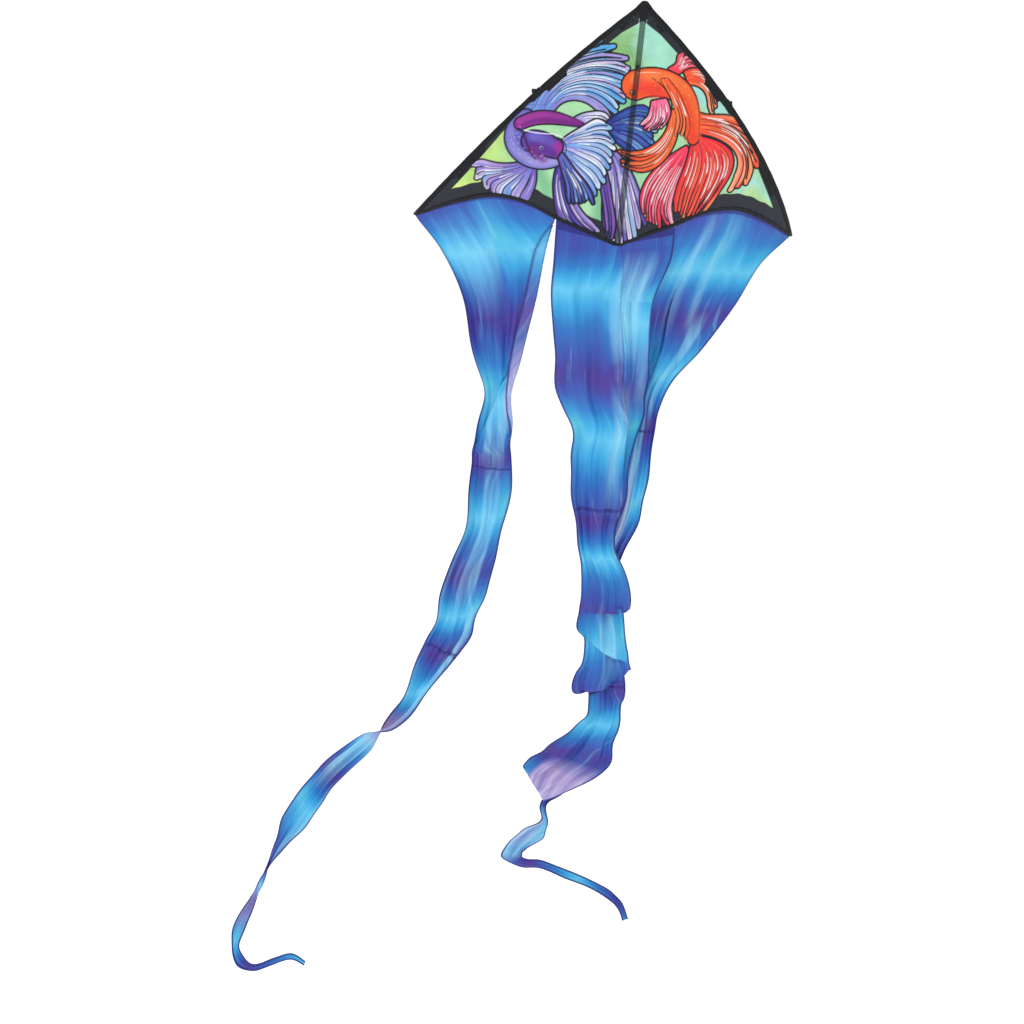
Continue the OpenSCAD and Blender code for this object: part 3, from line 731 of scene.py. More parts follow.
def sail_colour(side_x, drop):
    """The colour of every point of the sail: ground, black border, the two fish, then the sewn edges."""
    c = colours()
    x = np.abs(side_x)
    p = Painting(np.stack([side_x, drop], 1))
    paint_ground(p)
    band = shape().border / MM
    edge = edge_distance(x, drop)
    hem = trailing_drop(x) - drop
    waist = 1 - 0.55 * np.exp(-((drop - 215) / 80) ** 2)    # the border is narrower halfway down
    wobble = 0.8 * np.sin(side_x * 0.21) + 0.5 * np.sin(drop * 0.17)
    inside = np.minimum(edge - band * waist, (drop - 33 - 0.66 * x) * 0.83)
    inside = np.minimum(inside, hem - 34 + wobble)
    keep = np.clip(inside / 1.2 + 0.5, 0, 1)
    cloth = np.array(tuple(c.border)[:3])
    p.rgb = cloth + (p.rgb - cloth) * keep[:, None]
    paint_violet_fish(p)
    paint_orange_fish(p)
    tape = np.clip((5.5 - hem) / 1.0 + 0.5, 0, 1) + np.clip((6.6 - edge) / 1.0 + 0.5, 0, 1)
    rgb = p.rgb + (np.array(tuple(c.hem)[:3]) - p.rgb) * np.clip(tape, 0, 1)[:, None]
    pocket = np.clip((5.6 - x) / 0.8 + 0.5, 0, 1) * 0.76
    return rgb * (1 - pocket)[:, None]


# ---------------------------------------------------------------- meshes

def new_object(name, points, faces, finish, uv=None, attributes=None, smooth=True):
    mesh = bpy.data.meshes.new(name)
    mesh.from_pydata([tuple(p) for p in points], [], faces)
    mesh.materials.append(material(finish))
    if uv is not None:
        layer = mesh.uv_layers.new(name="UVMap")
        corners = np.empty(len(mesh.loops), dtype=np.int32)
        mesh.loops.foreach_get("vertex_index", corners)
        layer.data.foreach_set("uv", np.asarray(uv, np.float32)[corners].ravel())
    for key, values in (attributes or {}).items():
        values = np.asarray(values, np.float32)
        if values.ndim == 2:
            full = np.ones((len(values), 4), np.float32)
            full[:, :3] = values
            mesh.color_attributes.new(key, "FLOAT_COLOR", "POINT").data.foreach_set("color", full.ravel())
        else:
            mesh.attributes.new(key, "FLOAT", "POINT").data.foreach_set("value", values)
    mesh.polygons.foreach_set("use_smooth", np.full(len(mesh.polygons), smooth))
    mesh.update()
    obj = bpy.data.objects.new(name, mesh)
    bpy.context.scene.collection.objects.link(obj)
    return obj


def grid_faces(rows, cols, flip=False, wrap=False):
    faces = []
    for r in range(rows - 1):
        for c in range(cols if wrap else cols - 1):
            a, b = r * cols + c, r * cols + (c + 1) % cols
            quad = (a, b, b + cols, a + cols)
            faces.append(quad[::-1] if flip else quad)
    return faces


def grid_object(name, points, finish, uv=None, attributes=None, flip=False):
    """A sheet from a grid of points, rows by columns."""
    rows, cols = points.shape[:2]
    flat = {k: np.asarray(v).reshape(rows * cols, *np.asarray(v).shape[2:]) for k,
            v in (attributes or {}).items()}
    uvs = None if uv is None else uv.reshape(-1, 2)
    return new_object(name, points.reshape(-1, 3), grid_faces(rows, cols, flip), finish, uvs, flat)


def lengths_along(points):
    """Distance run along the rows of a grid, for each row, down its middle."""
    mid = points[:, points.shape[1] // 2]
    return np.concatenate([[0], np.cumsum(np.linalg.norm(np.diff(mid, axis=0), axis=1))])


def lengths_across(points):
    steps = np.linalg.norm(np.diff(points, axis=1), axis=2)
    return np.concatenate([np.zeros((len(points), 1)), np.cumsum(steps, axis=1)], axis=1)


def surface_area(points):
    a = points[1:, :-1] - points[:-1, :-1]
    b = points[:-1, 1:] - points[:-1, :-1]
    c = points[1:, :-1] - points[1:, 1:]
    d = points[:-1, 1:] - points[1:, 1:]
    return 0.5 * (np.linalg.norm(np.cross(a, b), axis=2).sum()
                  + np.linalg.norm(np.cross(c, d), axis=2).sum())


def declare_sheet(points):
    """Works out the area the sheet was cut to from its own measures; the number is not kept."""
    wide = float(lengths_across(points)[:, -1].max())
    long = float(lengths_along(points)[-1])
    round(min(surface_area(points), wide * long), 5)


def sweep(name, paths, finish, caps=True):
    """A closed tube from a list of rings, each with the same number of points."""
    rings = np.asarray(paths)
    rows, cols = rings.shape[:2]
    faces = grid_faces(rows, cols, wrap=True)
    if caps:
        faces.append(tuple(range(cols))[::-1])
        faces.append(tuple((rows - 1) * cols + k for k in range(cols)))
    run = lengths_along(rings)
    round_trip = lengths_across(np.concatenate([rings, rings[:, :1]], axis=1))[:, :-1]
    uv = np.stack([round_trip, np.repeat(run[:, None], cols, 1)], 2).reshape(-1, 2)
    return new_object(name, rings.reshape(-1, 3), faces, finish, uv)


def outward(obj):
    """Turns a closed shape's faces outwards."""
    mesh = obj.data
    volume = sum(p.area * p.center.dot(p.normal) for p in mesh.polygons)
    if volume < 0:
        mesh.flip_normals()


# ---------------------------------------------------------------- stitches

def stitch_tree():
    """Lays a short thread at even steps along a line."""
    name = "stitches"
    if name in bpy.data.node_groups:
        return bpy.data.node_groups[name]
    tree = bpy.data.node_groups.new(name, "GeometryNodeTree")
    face = tree.interface
    face.new_socket("Geometry", in_out="INPUT", socket_type="NodeSocketGeometry")
    for label, default in (("Spacing", 0.0036), ("Stitch Length", 0.0024), ("Thread Radius", 0.0003)):
        face.new_socket(label, in_out="INPUT", socket_type="NodeSocketFloat").default_value = default
    face.new_socket("Thread", in_out="INPUT", socket_type="NodeSocketMaterial")
    face.new_socket("Geometry", in_out="OUTPUT", socket_type="NodeSocketGeometry")
    new, link = tree.nodes.new, tree.links.new
    source = new("NodeGroupInput")
    line = new("GeometryNodeMeshToCurve")
    points = new("GeometryNodeCurveToPoints")
    points.mode = "LENGTH"
    thread = new("GeometryNodeMeshCylinder")
    thread.inputs["Vertices"].default_value = 6
    put = new("GeometryNodeInstanceOnPoints")
    real = new("GeometryNodeRealizeInstances")
    paint_it = new("GeometryNodeSetMaterial")
    result = new("NodeGroupOutput")
    link(source.outputs["Geometry"], line.inputs["Mesh"])
    link(line.outputs["Curve"], points.inputs["Curve"])
    link(source.outputs["Spacing"], points.inputs["Length"])
    link(source.outputs["Thread Radius"], thread.inputs["Radius"])
    link(source.outputs["Stitch Length"], thread.inputs["Depth"])
    link(points.outputs["Points"], put.inputs["Points"])
    link(thread.outputs["Mesh"], put.inputs["Instance"])
    link(points.outputs["Rotation"], put.inputs["Rotation"])
    link(put.outputs["Instances"], real.inputs["Geometry"])
    link(real.outputs["Geometry"], paint_it.inputs["Geometry"])
    link(source.outputs["Thread"], paint_it.inputs["Material"])
    link(paint_it.outputs["Geometry"], result.inputs["Geometry"])
    return tree


def stitched(name, lines, radius=0.0003):
    """Stitches along each line, as one plain mesh."""
    points, edges = [], []
    for line in lines:
        start = len(points)
        points += [tuple(p) for p in line]
        edges += [(start + i, start + i + 1) for i in range(len(line) - 1)]
    mesh = bpy.data.meshes.new(name + "_line")
    mesh.from_pydata(points, edges, [])
    guide = bpy.data.objects.new(name + "_guide", mesh)
    bpy.context.scene.collection.objects.link(guide)
    tree = stitch_tree()
    step = guide.modifiers.new("stitches", "NODES")
    step.node_group = tree
    spacing = shape().stitch
    values = {"Spacing": spacing, "Stitch Length": spacing * 0.68, "Thread Radius": radius,
              "Thread": material("thread")}
    for item in tree.interface.items_tree:
        if item.in_out == "INPUT" and item.name in values:
            step[item.identifier] = values[item.name]
    graph = bpy.context.evaluated_depsgraph_get()
    made = bpy.data.meshes.new_from_object(guide.evaluated_get(graph), depsgraph=graph)
    bpy.data.objects.remove(guide)
    obj = bpy.data.objects.new(name, made)
    bpy.context.scene.collection.objects.link(obj)
    return obj


# ---------------------------------------------------------------- tails

def hem_point(x, drop=0.0):
    side = np.sign(x)
    x = np.abs(x)
    return sail_point(side, x, trailing_drop(x) + TAIL_DROP + drop)


def bump(value, low, high, soft):
    """1 between low and high, fading to 0 over a soft distance outside them."""
    return np.clip((value - low) / soft + 1, 0, 1) * np.clip((high - value) / soft + 1, 0, 1)


def waves(s, u, wide, seed):
    """Height of the soft lengthwise folds at each row and column, in metres."""
    rng = np.random.default_rng(seed)
    size = np.minimum(0.011, 0.10 * wide) * np.clip((s - 0.25) / 1.6, 0, 1)
    out = np.zeros_like(u * s)
    for count, weight in ((1.2, 0.5), (2.3, 0.4), (4.1, 0.24), (7.3, 0.1)):
        phase, drift, lean = rng.random() * 6.28, rng.uniform(-0.22, 0.22), rng.uniform(0.5, 1.2)
        out = out + weight * np.sin(2 * np.pi * (count * u + drift * s) + phase
                                    + lean * np.sin(0.9 * s + phase))
    return out * size


def section(u, s, tail):
    """Where each thread lies across the tail, how far behind its neighbours, and how much is folded over."""
    across, layer, over = (np.zeros((len(s), len(u))) for _ in range(3))
    for r, row in enumerate(s[:, 0]):
        stops, levels, turned = [0.0], [0.0], [0.0]
        there = [[np.interp(row, pleat[0], values) for values in pleat[1:]] for pleat in tail["pleats"]]
        for at, overlap, front, behind in sorted(there):
            if overlap + abs(front) + abs(behind) < 0.01:
                continue
            stops += [at + overlap / 2, at - overlap / 2]
            levels += [front, behind]
            turned += [0.0, 0.0]
        stops.append(1.0)
        levels.append(0.0)
        turned.append(0.0)
        flap = np.interp(row, *tail["flap"])
        if flap > 0.005:
            stops += [1.0, 1.0 - flap]
            levels += [-1.0, -1.6]
            turned += [1.0, 1.0]
        path = np.concatenate([[0], np.cumsum(np.maximum(np.abs(np.diff(stops)), 1e-6))])
        q = u * path[-1]
        for knot in path[1:-1]:
            near = int(np.argmin(np.abs(q - knot)))
            if 0 < near < len(q) - 1:
                q[near] = knot
        across[r] = np.interp(q, path, stops)
        layer[r] = np.interp(q, path, levels)
        over[r] = np.interp(q, path, turned)
    return across, layer * MM, over


def tail_surface(tail, s0, s1, steps, cols, u0=0.0, u1=1.0):
    """Points of a tail between two rows, with its pleats, gathers and soft folds."""
    top, rows = tail["top"], tail["rows"]
    lefts = [top[0]] + [r[0] for r in rows]
    rights = [top[1]] + [r[1] for r in rows]
    s = np.linspace(s0, s1, steps + 1)[:, None]
    u = np.linspace(u0, u1, cols + 1)
    g, layer, over = section(u, s, tail)
    left = along(lefts, s[:, 0])[:, None, :]
    right = along(rights, s[:, 0])[:, None, :]
    flat = left + (right - left) * g[..., None]
    loose = np.clip((s - 2.5) / 2, 0, 1) * np.minimum(np.linalg.norm(right - left, axis=2), 70.0)
    seed = tail["seed"]
    flat[..., 0] += 0.04 * loose * (
        (1 - g) * np.sin(3.1 * s + seed) + g * np.sin(3.7 * s + 2 * seed)
        + (1 - 2 * g) * np.sin(6.3 * s + 3 * seed) * 0.4)
    x = top[0][0] + (top[1][0] - top[0][0]) * g
    chord = np.array(top[0]) + (np.array(top[1]) - np.array(top[0])) * g[..., None]
    hem = hem_point(x, -3.0 * np.maximum(0, 1 - s / 0.4)) / MM - chord
    sewn = np.maximum(0, 1 - s) ** 2
    drape = sewn.copy() if "drape" not in tail else np.maximum(0, 1 - s / tail["drape"]) ** 2
    fit = np.stack([hem[..., 0] * sewn, hem[..., 1] * drape, hem[..., 2] * sewn], 2)
    points = (flat + fit) * MM
    points[..., 1] += 0.0013 * np.maximum(0, 1 - s / 0.3)
    wide = np.linalg.norm(right - left, axis=2) * MM
    height = waves(s, g, wide, tail["seed"]) * np.where(over > 0.2, 0.5, 1.0) + layer
    points = points + tail_normals(lefts, rights, s[:, 0])[:, None, :] * height[..., None]
    for centre, tilt, sag, long, rise_left, rise_right, back in tail["gathers"]:
        place = (s - centre - tilt * (g - 0.5) - sag * 4 * g * (1 - g)) / long
        fold = np.sin(2 * np.pi * place) * np.exp(-(1.6 * place) ** 2) * MM
        rise = rise_left + (rise_right - rise_left) * g ** 1.3
        points[..., 2] += rise * fold
        points[..., 1] += back * fold
        spread = 0.2 * np.exp(-(place + 0.25) ** 2 * 14) - 0.22 * np.exp(-(place - 0.12) ** 2 * 18)
        points[..., 0] += spread * (points[..., 0] - points[..., 0].mean(1)[:, None])
    return points, s, g, over


def tail_normals(lefts, rights, s):
    """The direction square to the tail's run and width, pointing backwards at the top and never flipping."""
    places = np.linspace(0, len(lefts) - 1, 20 * len(lefts) + 1)
    left, right = along(lefts, places), along(rights, places)
    n = np.cross(np.gradient((left + right) / 2, axis=0), right - left)
    n /= np.maximum(np.linalg.norm(n, axis=1, keepdims=True), 1e-9)
    if n[0, 1] < 0:
        n = -n
    for r in range(1, len(n)):
        if n[r] @ n[r - 1] < 0:
            n[r] = -n[r]
    return np.stack([np.interp(s, places, n[:, k]) for k in range(3)], 1)


def tail_piece(name, tail, s0, s1, start, steps, cols=44, u0=0.0, u1=1.0):
    """One length of a tail: its cloth, its rolled edges and the raised band of its seams."""
    points, s, g, over = tail_surface(tail, s0, s1, steps, cols, u0, u1)
    across = lengths_across(points)
    total = across[:, -1:]
    run = lengths_along(points)
    band = np.interp(s, *zip(*tail["bands"])) + tail["tilt"] * (g - 0.5)
    rim = 0.0042
    edge = np.zeros_like(across)
    if u0 == 0.0:
        edge = np.maximum(edge, np.clip((rim - across) / 0.0012, 0, 1))
    if u1 == 1.0:
        edge = np.maximum(edge, np.clip((rim - (total - across)) / 0.0012, 0, 1))
    pitch = float(run[-1]) / steps
    row_length = (s1 - s0) / steps / pitch
    for seam, lean in tail["seams"]:
        away = np.abs(s - seam - lean * (g - 0.5)) / row_length
        edge = np.maximum(edge, np.clip((0.0030 - away) / 0.0012, 0, 1))
    if s0 == 0:
        edge = np.maximum(edge, np.clip((0.0092 - run[:, None]) / 0.001, 0, 1))
    # Painted shade: a dark line is painted along the centre tail's crease through the edge colour, and the
    # dye bands shift on one side of it.
    if "crease" in tail:
        away = np.abs(g - np.interp(s, *tail["crease"]))
        edge = np.maximum(edge, 0.55 * np.clip((0.0085 - away) / 0.006, 0, 1) * bump(s, 0.0, 4.6, 0.6))
        band = band - 0.16 * np.clip((g - np.interp(s, *tail["crease"])) / 0.01, 0,
                                     1) * bump(s, 1.4, 4.6, 0.8)
    points[..., 1] -= 0.0003 * edge
    # Paler lilac where the reverse side shows, on the turned-over flap and in the listed places; some listed
    # places are painted highlights on folded edges.
    pale = 0.08 * over
    for from_s, to_s, from_g, to_g, strength in tail["pale"]:
        pale = np.maximum(pale, strength * bump(s, from_s, to_s, 0.7) * bump(g, from_g, to_g, 0.14))
    # Painted highlights: each listed light row and width is painted paler, as if lit.
    light = np.zeros_like(across)
    for from_s, to_s, from_g, to_g, strength in tail["light"]:
        light = np.maximum(light, strength * bump(s, from_s, to_s, 0.8) * bump(g, from_g, to_g, 0.05))
    uv = np.stack([across, np.repeat((run + start)[:, None], across.shape[1], 1)], 2)
    obj = grid_object(name, points, "tail", uv, {"band": band, "pale": pale, "edge": edge, "light": light},
                      flip=True)
    return obj, points, float(run[-1])


# In each tail's table below, the light entries are painted highlights, and the entries for the paler lilac
# are the cloth's reverse side together with painted highlights on folded edges.
LEFT_TAIL = {
    "rows": LEFT_ROWS, "seed": 11, "tilt": 0.05, "seams": ((6, 0.0), (10, 0.3)),
    "bands": ((0, 0.12), (1.0, 0.5), (2.4, 1.0), (4.1, 1.5), (5.85, 2.0), (6.8, 2.5), (7.95, 3.0),
              (8.9, 3.5),
              (10.1, 4.0), (10.9, 4.5), (12, 5.0), (13, 5.5), (14.1, 6.0), (15.3, 6.5), (17.7, 7.0),
              (18.4, 7.5),
              (19.2, 8.0), (20.8, 8.5), (22.7, 9.0), (26, 9.5)),
    "pleats": [((3.4, 3.9, 4.6, 5.2, 5.6), (0.82, 0.66, 0.38, 0.14, 0.1), (0, 0.22, 0.3, 0.16, 0),
                (0, 5, 5, 3, 0),
                (0, -4, -5, -3, 0)),
               ((5.9, 6.4, 8.0, 8.8), (0.22, 0.22, 0.26, 0.3), (0, 0.09, 0.1, 0), (0, 3, 3, 0),
                (0, -3, -3, 0))],
    "flap": ((0.2, 1.0, 2.4, 3.4, 4.4, 5.0), (0.0, 0.11, 0.2, 0.26, 0.16, 0.0)),
    "gathers": (), "light": ((0.9, 1.6, 0.1, 0.5, 0.35), (4.7, 5.4, 0.3, 0.8, 0.55),
                             (6.5, 8.2, 0.4, 0.7, 0.6),
        (9.2, 12.0, 0.8, 0.9, 0.75), (13.0, 14.0, 0.3, 0.75, 0.9), (16.0, 17.2, 0.1, 0.4, 0.5),
        (7.2, 9.0, 0.0, 0.06, 0.6)),
    "pale": ((12.1, 12.6, 0.0, 1.0, 0.5), (3.4, 4.2, 0.86, 0.97, 0.7), (18.6, 19.8, 0.0, 1.0, 0.35))}
CENTRE_TAIL = {
    "rows": CENTRE_ROWS, "seed": 23, "tilt": 0.0, "drape": 3.0, "seams": ((7, 0.0), (12.6, -0.5)),
    "crease": ((0, 1, 2, 3, 4, 5, 6), (0.5, 0.57, 0.66, 0.70, 0.70, 0.72, 0.84)),
    "bands": ((0, 0.1), (0.7, 0.16), (1.75, 0.5), (3.7, 1.0), (5.35, 1.5), (7.1, 1.92), (8.2, 2.5),
              (9.6, 3.0), (10.7, 3.5),
              (12.4, 4.0), (13.7, 4.5), (14.9, 5.0), (17, 5.3)),
    "pleats": [((0, 1, 2, 3, 4, 5, 6, 7, 8, 9), (0.5, 0.58, 0.68, 0.72, 0.71, 0.72, 0.84, 0.88, 0.88, 0.88),
                (0, 0, 0, 0.02, 0.05, 0.14, 0.14, 0.06, 0.03, 0), (0, -6, -9, -9, -8, -7, -5, -3, -1, 0),
                (0, -6, -9, -5, 0, 3, 3, 1, 0, 0))],
    "flap": ((0, 1), (0, 0)),
    "gathers": ((9.6, -0.15, 0.2, 1.7, 14, 22, 7), (10.95, 1.0, 0.0, 1.6, 14, 17, 6),
                (12.2, -0.6, 0.1, 1.2, 14, 12, 5)),
    "light": ((1.5, 2.6, 0.6, 0.86, 0.7), (4.6, 6.4, 0.62, 0.8, 0.5), (3.0, 4.4, 0.9, 1.0, 0.35),
              (10.4, 11.2, 0.5, 0.75, 0.7)),
    "pale": ((15.9, 18.0, 0.3, 1.0, 0.8),)}
RIGHT_TAIL = {
    "rows": RIGHT_ROWS, "seed": 37, "tilt": 0.06, "seams": ((5, 0.0), (12, 0.0)),
    "bands": ((0, 0.12), (1.2, 0.5), (2.3, 1.0), (3.5, 1.5), (4.9, 2.0), (6.5, 2.5), (8, 3.0), (9.5, 3.5),
              (11, 4.0), (12.5, 4.5), (13.6, 5.0), (15.2, 5.5), (17.5, 5.8), (19.3, 6.0), (21.5, 6.5),
              (24, 7.0),
              (25, 7.3)),
    "pleats": [((1.5, 2.4, 3.6, 4.6), (0.3, 0.34, 0.4, 0.4), (0, 0.05, 0.06, 0), (0, 4, 4, 0),
                (0, -4, -4, 0))],
    "flap": ((0, 1), (0, 0)), "gathers": (),
    "light": ((0.6, 2.0, 0.30, 0.36, 0.5), (0.7, 1.9, 0.52, 0.56, 0.45), (2.9, 4.2, 0.6, 0.75, 0.6),
              (4.4, 7.6, 0.12, 0.5, 0.8),
              (14.8, 17.8, 0.0, 1.0, 0.85)),
    "pale": ((3.9, 6.0, 0.0, 0.12, 0.75), (6.4, 7.4, 0.2, 0.4, 0.4), (15.2, 16.6, 0.0, 0.5, 0.4))}


# ---------------------------------------------------------------- operators

class KITE_OT_stage(bpy.types.Operator):
    """Makes the floor, the lights and the camera"""
    bl_idname = "kite.stage"
    bl_label = "Stage"

    def execute(self, context):
        scene = context.scene
        distance, yaw, pitch, roll = 9.125, math.radians(14.0), math.radians(15.4), math.radians(6.2)
        ahead = Vector((math.sin(yaw) * math.cos(pitch), math.cos(yaw) * math.cos(pitch), -math.sin(pitch)))
        level = Vector((math.cos(yaw), -math.sin(yaw), 0.0))
        over = level.cross(ahead)
        right = math.cos(roll) * level + math.sin(roll) * over
        up = -math.sin(roll) * level + math.cos(roll) * over
        nose = Vector((0.0, SAIL_Y, NOSE_Z)) * MM
        nose_right, nose_up = 0.2427, 0.9289    # where the nose stands from the middle of the view
        place = nose - distance * ahead - nose_right * right - nose_up * up
        data = bpy.data.cameras.new("camera")
        data.sensor_width = 36.0
        data.lens = 175.78
        data.clip_end = 200.0
        camera = bpy.data.objects.new("camera", data)
        turn = Matrix((right, up, -ahead)).transposed()
        camera.matrix_world = Matrix.Translation(place) @ turn.to_4x4()
        scene.collection.objects.link(camera)
        scene.camera = camera

        g = Graph("floor_paint")
        spot = g.add("ShaderNodeTexCoord", None, out=3)
        tone = g.noise(spot, 0.7, 2.0)
        g.finish(g.blend(tone, (0.93, 0.93, 0.935, 1), (0.96, 0.96, 0.96, 1)), 0.85,
                 Emission_Color=(1.0, 1.0, 1.0, 1.0), Emission_Strength=0.55)
        low = CAD_BOX[0][2] - 0.06
        half = 60.0
        mesh = bpy.data.meshes.new("floor")
        mesh.from_pydata([(-half, -half, low), (half, -half, low), (half, half, low), (-half, half, low)],
                         [], [(0, 1, 2, 3)])
        mesh.materials.append(g.material)
        floor = bpy.data.objects.new("floor", mesh)
        scene.collection.objects.link(floor)

        for name, at, size, power in (
                ("key", (-2.6, -3.2, 2.4), 1.6, 78.0), ("fill", (3.4, -2.8, 0.6), 2.6, 22.0),
                ("back", (0.6, 3.4, 2.2), 2.2, 30.0)):
            light = bpy.data.lights.new(name, "AREA")
            light.size = size
            light.energy = power
            lamp = bpy.data.objects.new(name, light)
            aim = Vector((0.0, 0.0, -0.6)) - Vector(at)
            lamp.matrix_world = Matrix.Translation(at) @ aim.to_track_quat("-Z", "Y").to_matrix().to_4x4()
            scene.collection.objects.link(lamp)
        world = bpy.data.worlds.new("studio")
        world.use_nodes = True
        ground = world.node_tree.nodes["Background"]
        ground.inputs["Color"].default_value = (1.0, 1.0, 1.0, 1.0)
        ground.inputs["Strength"].default_value = 0.5
        scene.world = world
        scene.view_settings.view_transform = "Standard"
        return {"FINISHED"}


class KITE_OT_hardware(bpy.types.Operator):
    """Finishes the rods, end caps, clips and tow rings"""
    bl_idname = "kite.hardware"
    bl_label = "Rods and fittings"

    def execute(self, context):
        finishes = {
            "rod": ["spine", "spreader", "leading_edge_spar_left", "leading_edge_spar_right"],
            "vinyl": ["spine_end_cap", "spar_end_cap_left", "spar_end_cap_right", "spreader_clip_left",
                      "spreader_clip_right"],
            "ring": ["tow_ring_upper", "tow_ring_lower"]}
        for finish, names in finishes.items():
            for name in names:
                slots = NODES[name].material_slots
                if not slots:
                    NODES[name].data.materials.append(material(finish))
                for entry in slots:
                    entry.material = material(finish)
        return {"FINISHED"}


SLEEVE_FRONT = [(6.4, 0.1), (4.2, -1.3), (2.0, -2.8), (-0.6, -3.2), (-2.7, -1.9), (-3.3, 0.2)]
SLEEVE_ROUND = [(15.0, 0.35), (10.0, 0.35)] + SLEEVE_FRONT + [
    (-2.6, 2.2), (-0.6, 3.2), (2.0, 3.0), (4.4, 2.0), (6.6, 1.3), (10.0, 1.15), (15.0, 1.1)]
SLEEVE_OPEN = [(10.0, 0.35)] + SLEEVE_FRONT + [
    (-2.75, 0.15), (-2.2, -1.4), (-0.5, -2.55), (1.8, -2.2), (3.9, -0.8), (6.4, 0.7), (10.0, 0.95)]


def leading_sleeve(side, t0, t1, steps, outline):
    """Rings of the folded cloth round a leading edge rod, with its sewn flange behind the sail."""
    outline = np.array(outline)
    rings = []
    for t in np.linspace(t0, t1, steps):
        x, d = edge_xd(t)
        x2, d2 = edge_xd(t + 0.01)
        run = np.array([x2 - x, d2 - d])
        run /= np.hypot(*run)
        inward = np.array([-run[1], run[0]])
        soft = 1 + 0.05 * math.sin(t * 90)
        px = x + inward[0] * outline[:, 0] * soft
        pd = d + inward[1] * outline[:, 0] * soft
        rings.append(sail_point(side, px, pd, outline[:, 1]))
    return rings


class KITE_OT_sail(bpy.types.Operator):
    """Makes the printed cloth of both wings and the strip over the spine"""
    bl_idname = "kite.sail"
    bl_label = "Printed sail"

    def execute(self, context):
        cols, rows = 288, 340
        for side, word in ((-1, "left"), (1, "right")):
            u = np.linspace(0, 1, cols)[None, :]
            t = np.linspace(0.03, 0.998, rows)[:, None]
            x, drop = wing_xd(u, t)
            points = sail_point(side, x, drop, billow(x, drop))
            rgb = sail_colour((side * x).ravel(), drop.ravel()).reshape(rows, cols, 3)
            uv = np.stack([x, drop], 2) * MM
            sail = grid_object(f"sail_cloth_{word}", points, "print", uv, {"print": rgb}, flip=side > 0)
            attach(sail, f"{word}_wing")
            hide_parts(f"sail_{word}")
            declare_sheet(points)
        drop = np.linspace(28.0, shape().spine / MM - 1.5, 330)[:, None]
        x = np.linspace(-1, 1, 17)[None, :] * (HINGE_X - 0.4 + 1.2 * np.clip((drop - 40) / 20, 0, 1))
        drop = drop + 0 * x
        points = np.stack([x, SAIL_Y - 0.25 - 0.35 * np.cos(x / HINGE_X * np.pi / 2), NOSE_Z - drop], 2) * MM
        rgb = sail_colour(x.ravel(), drop.ravel()).reshape(*x.shape, 3)
        strip = grid_object("spine_strip", points, "print", np.stack([x, drop], 2) * MM, {"print": rgb},
                            flip=True)
        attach(strip, "frame")
        declare_sheet(points)
        return {"FINISHED"}


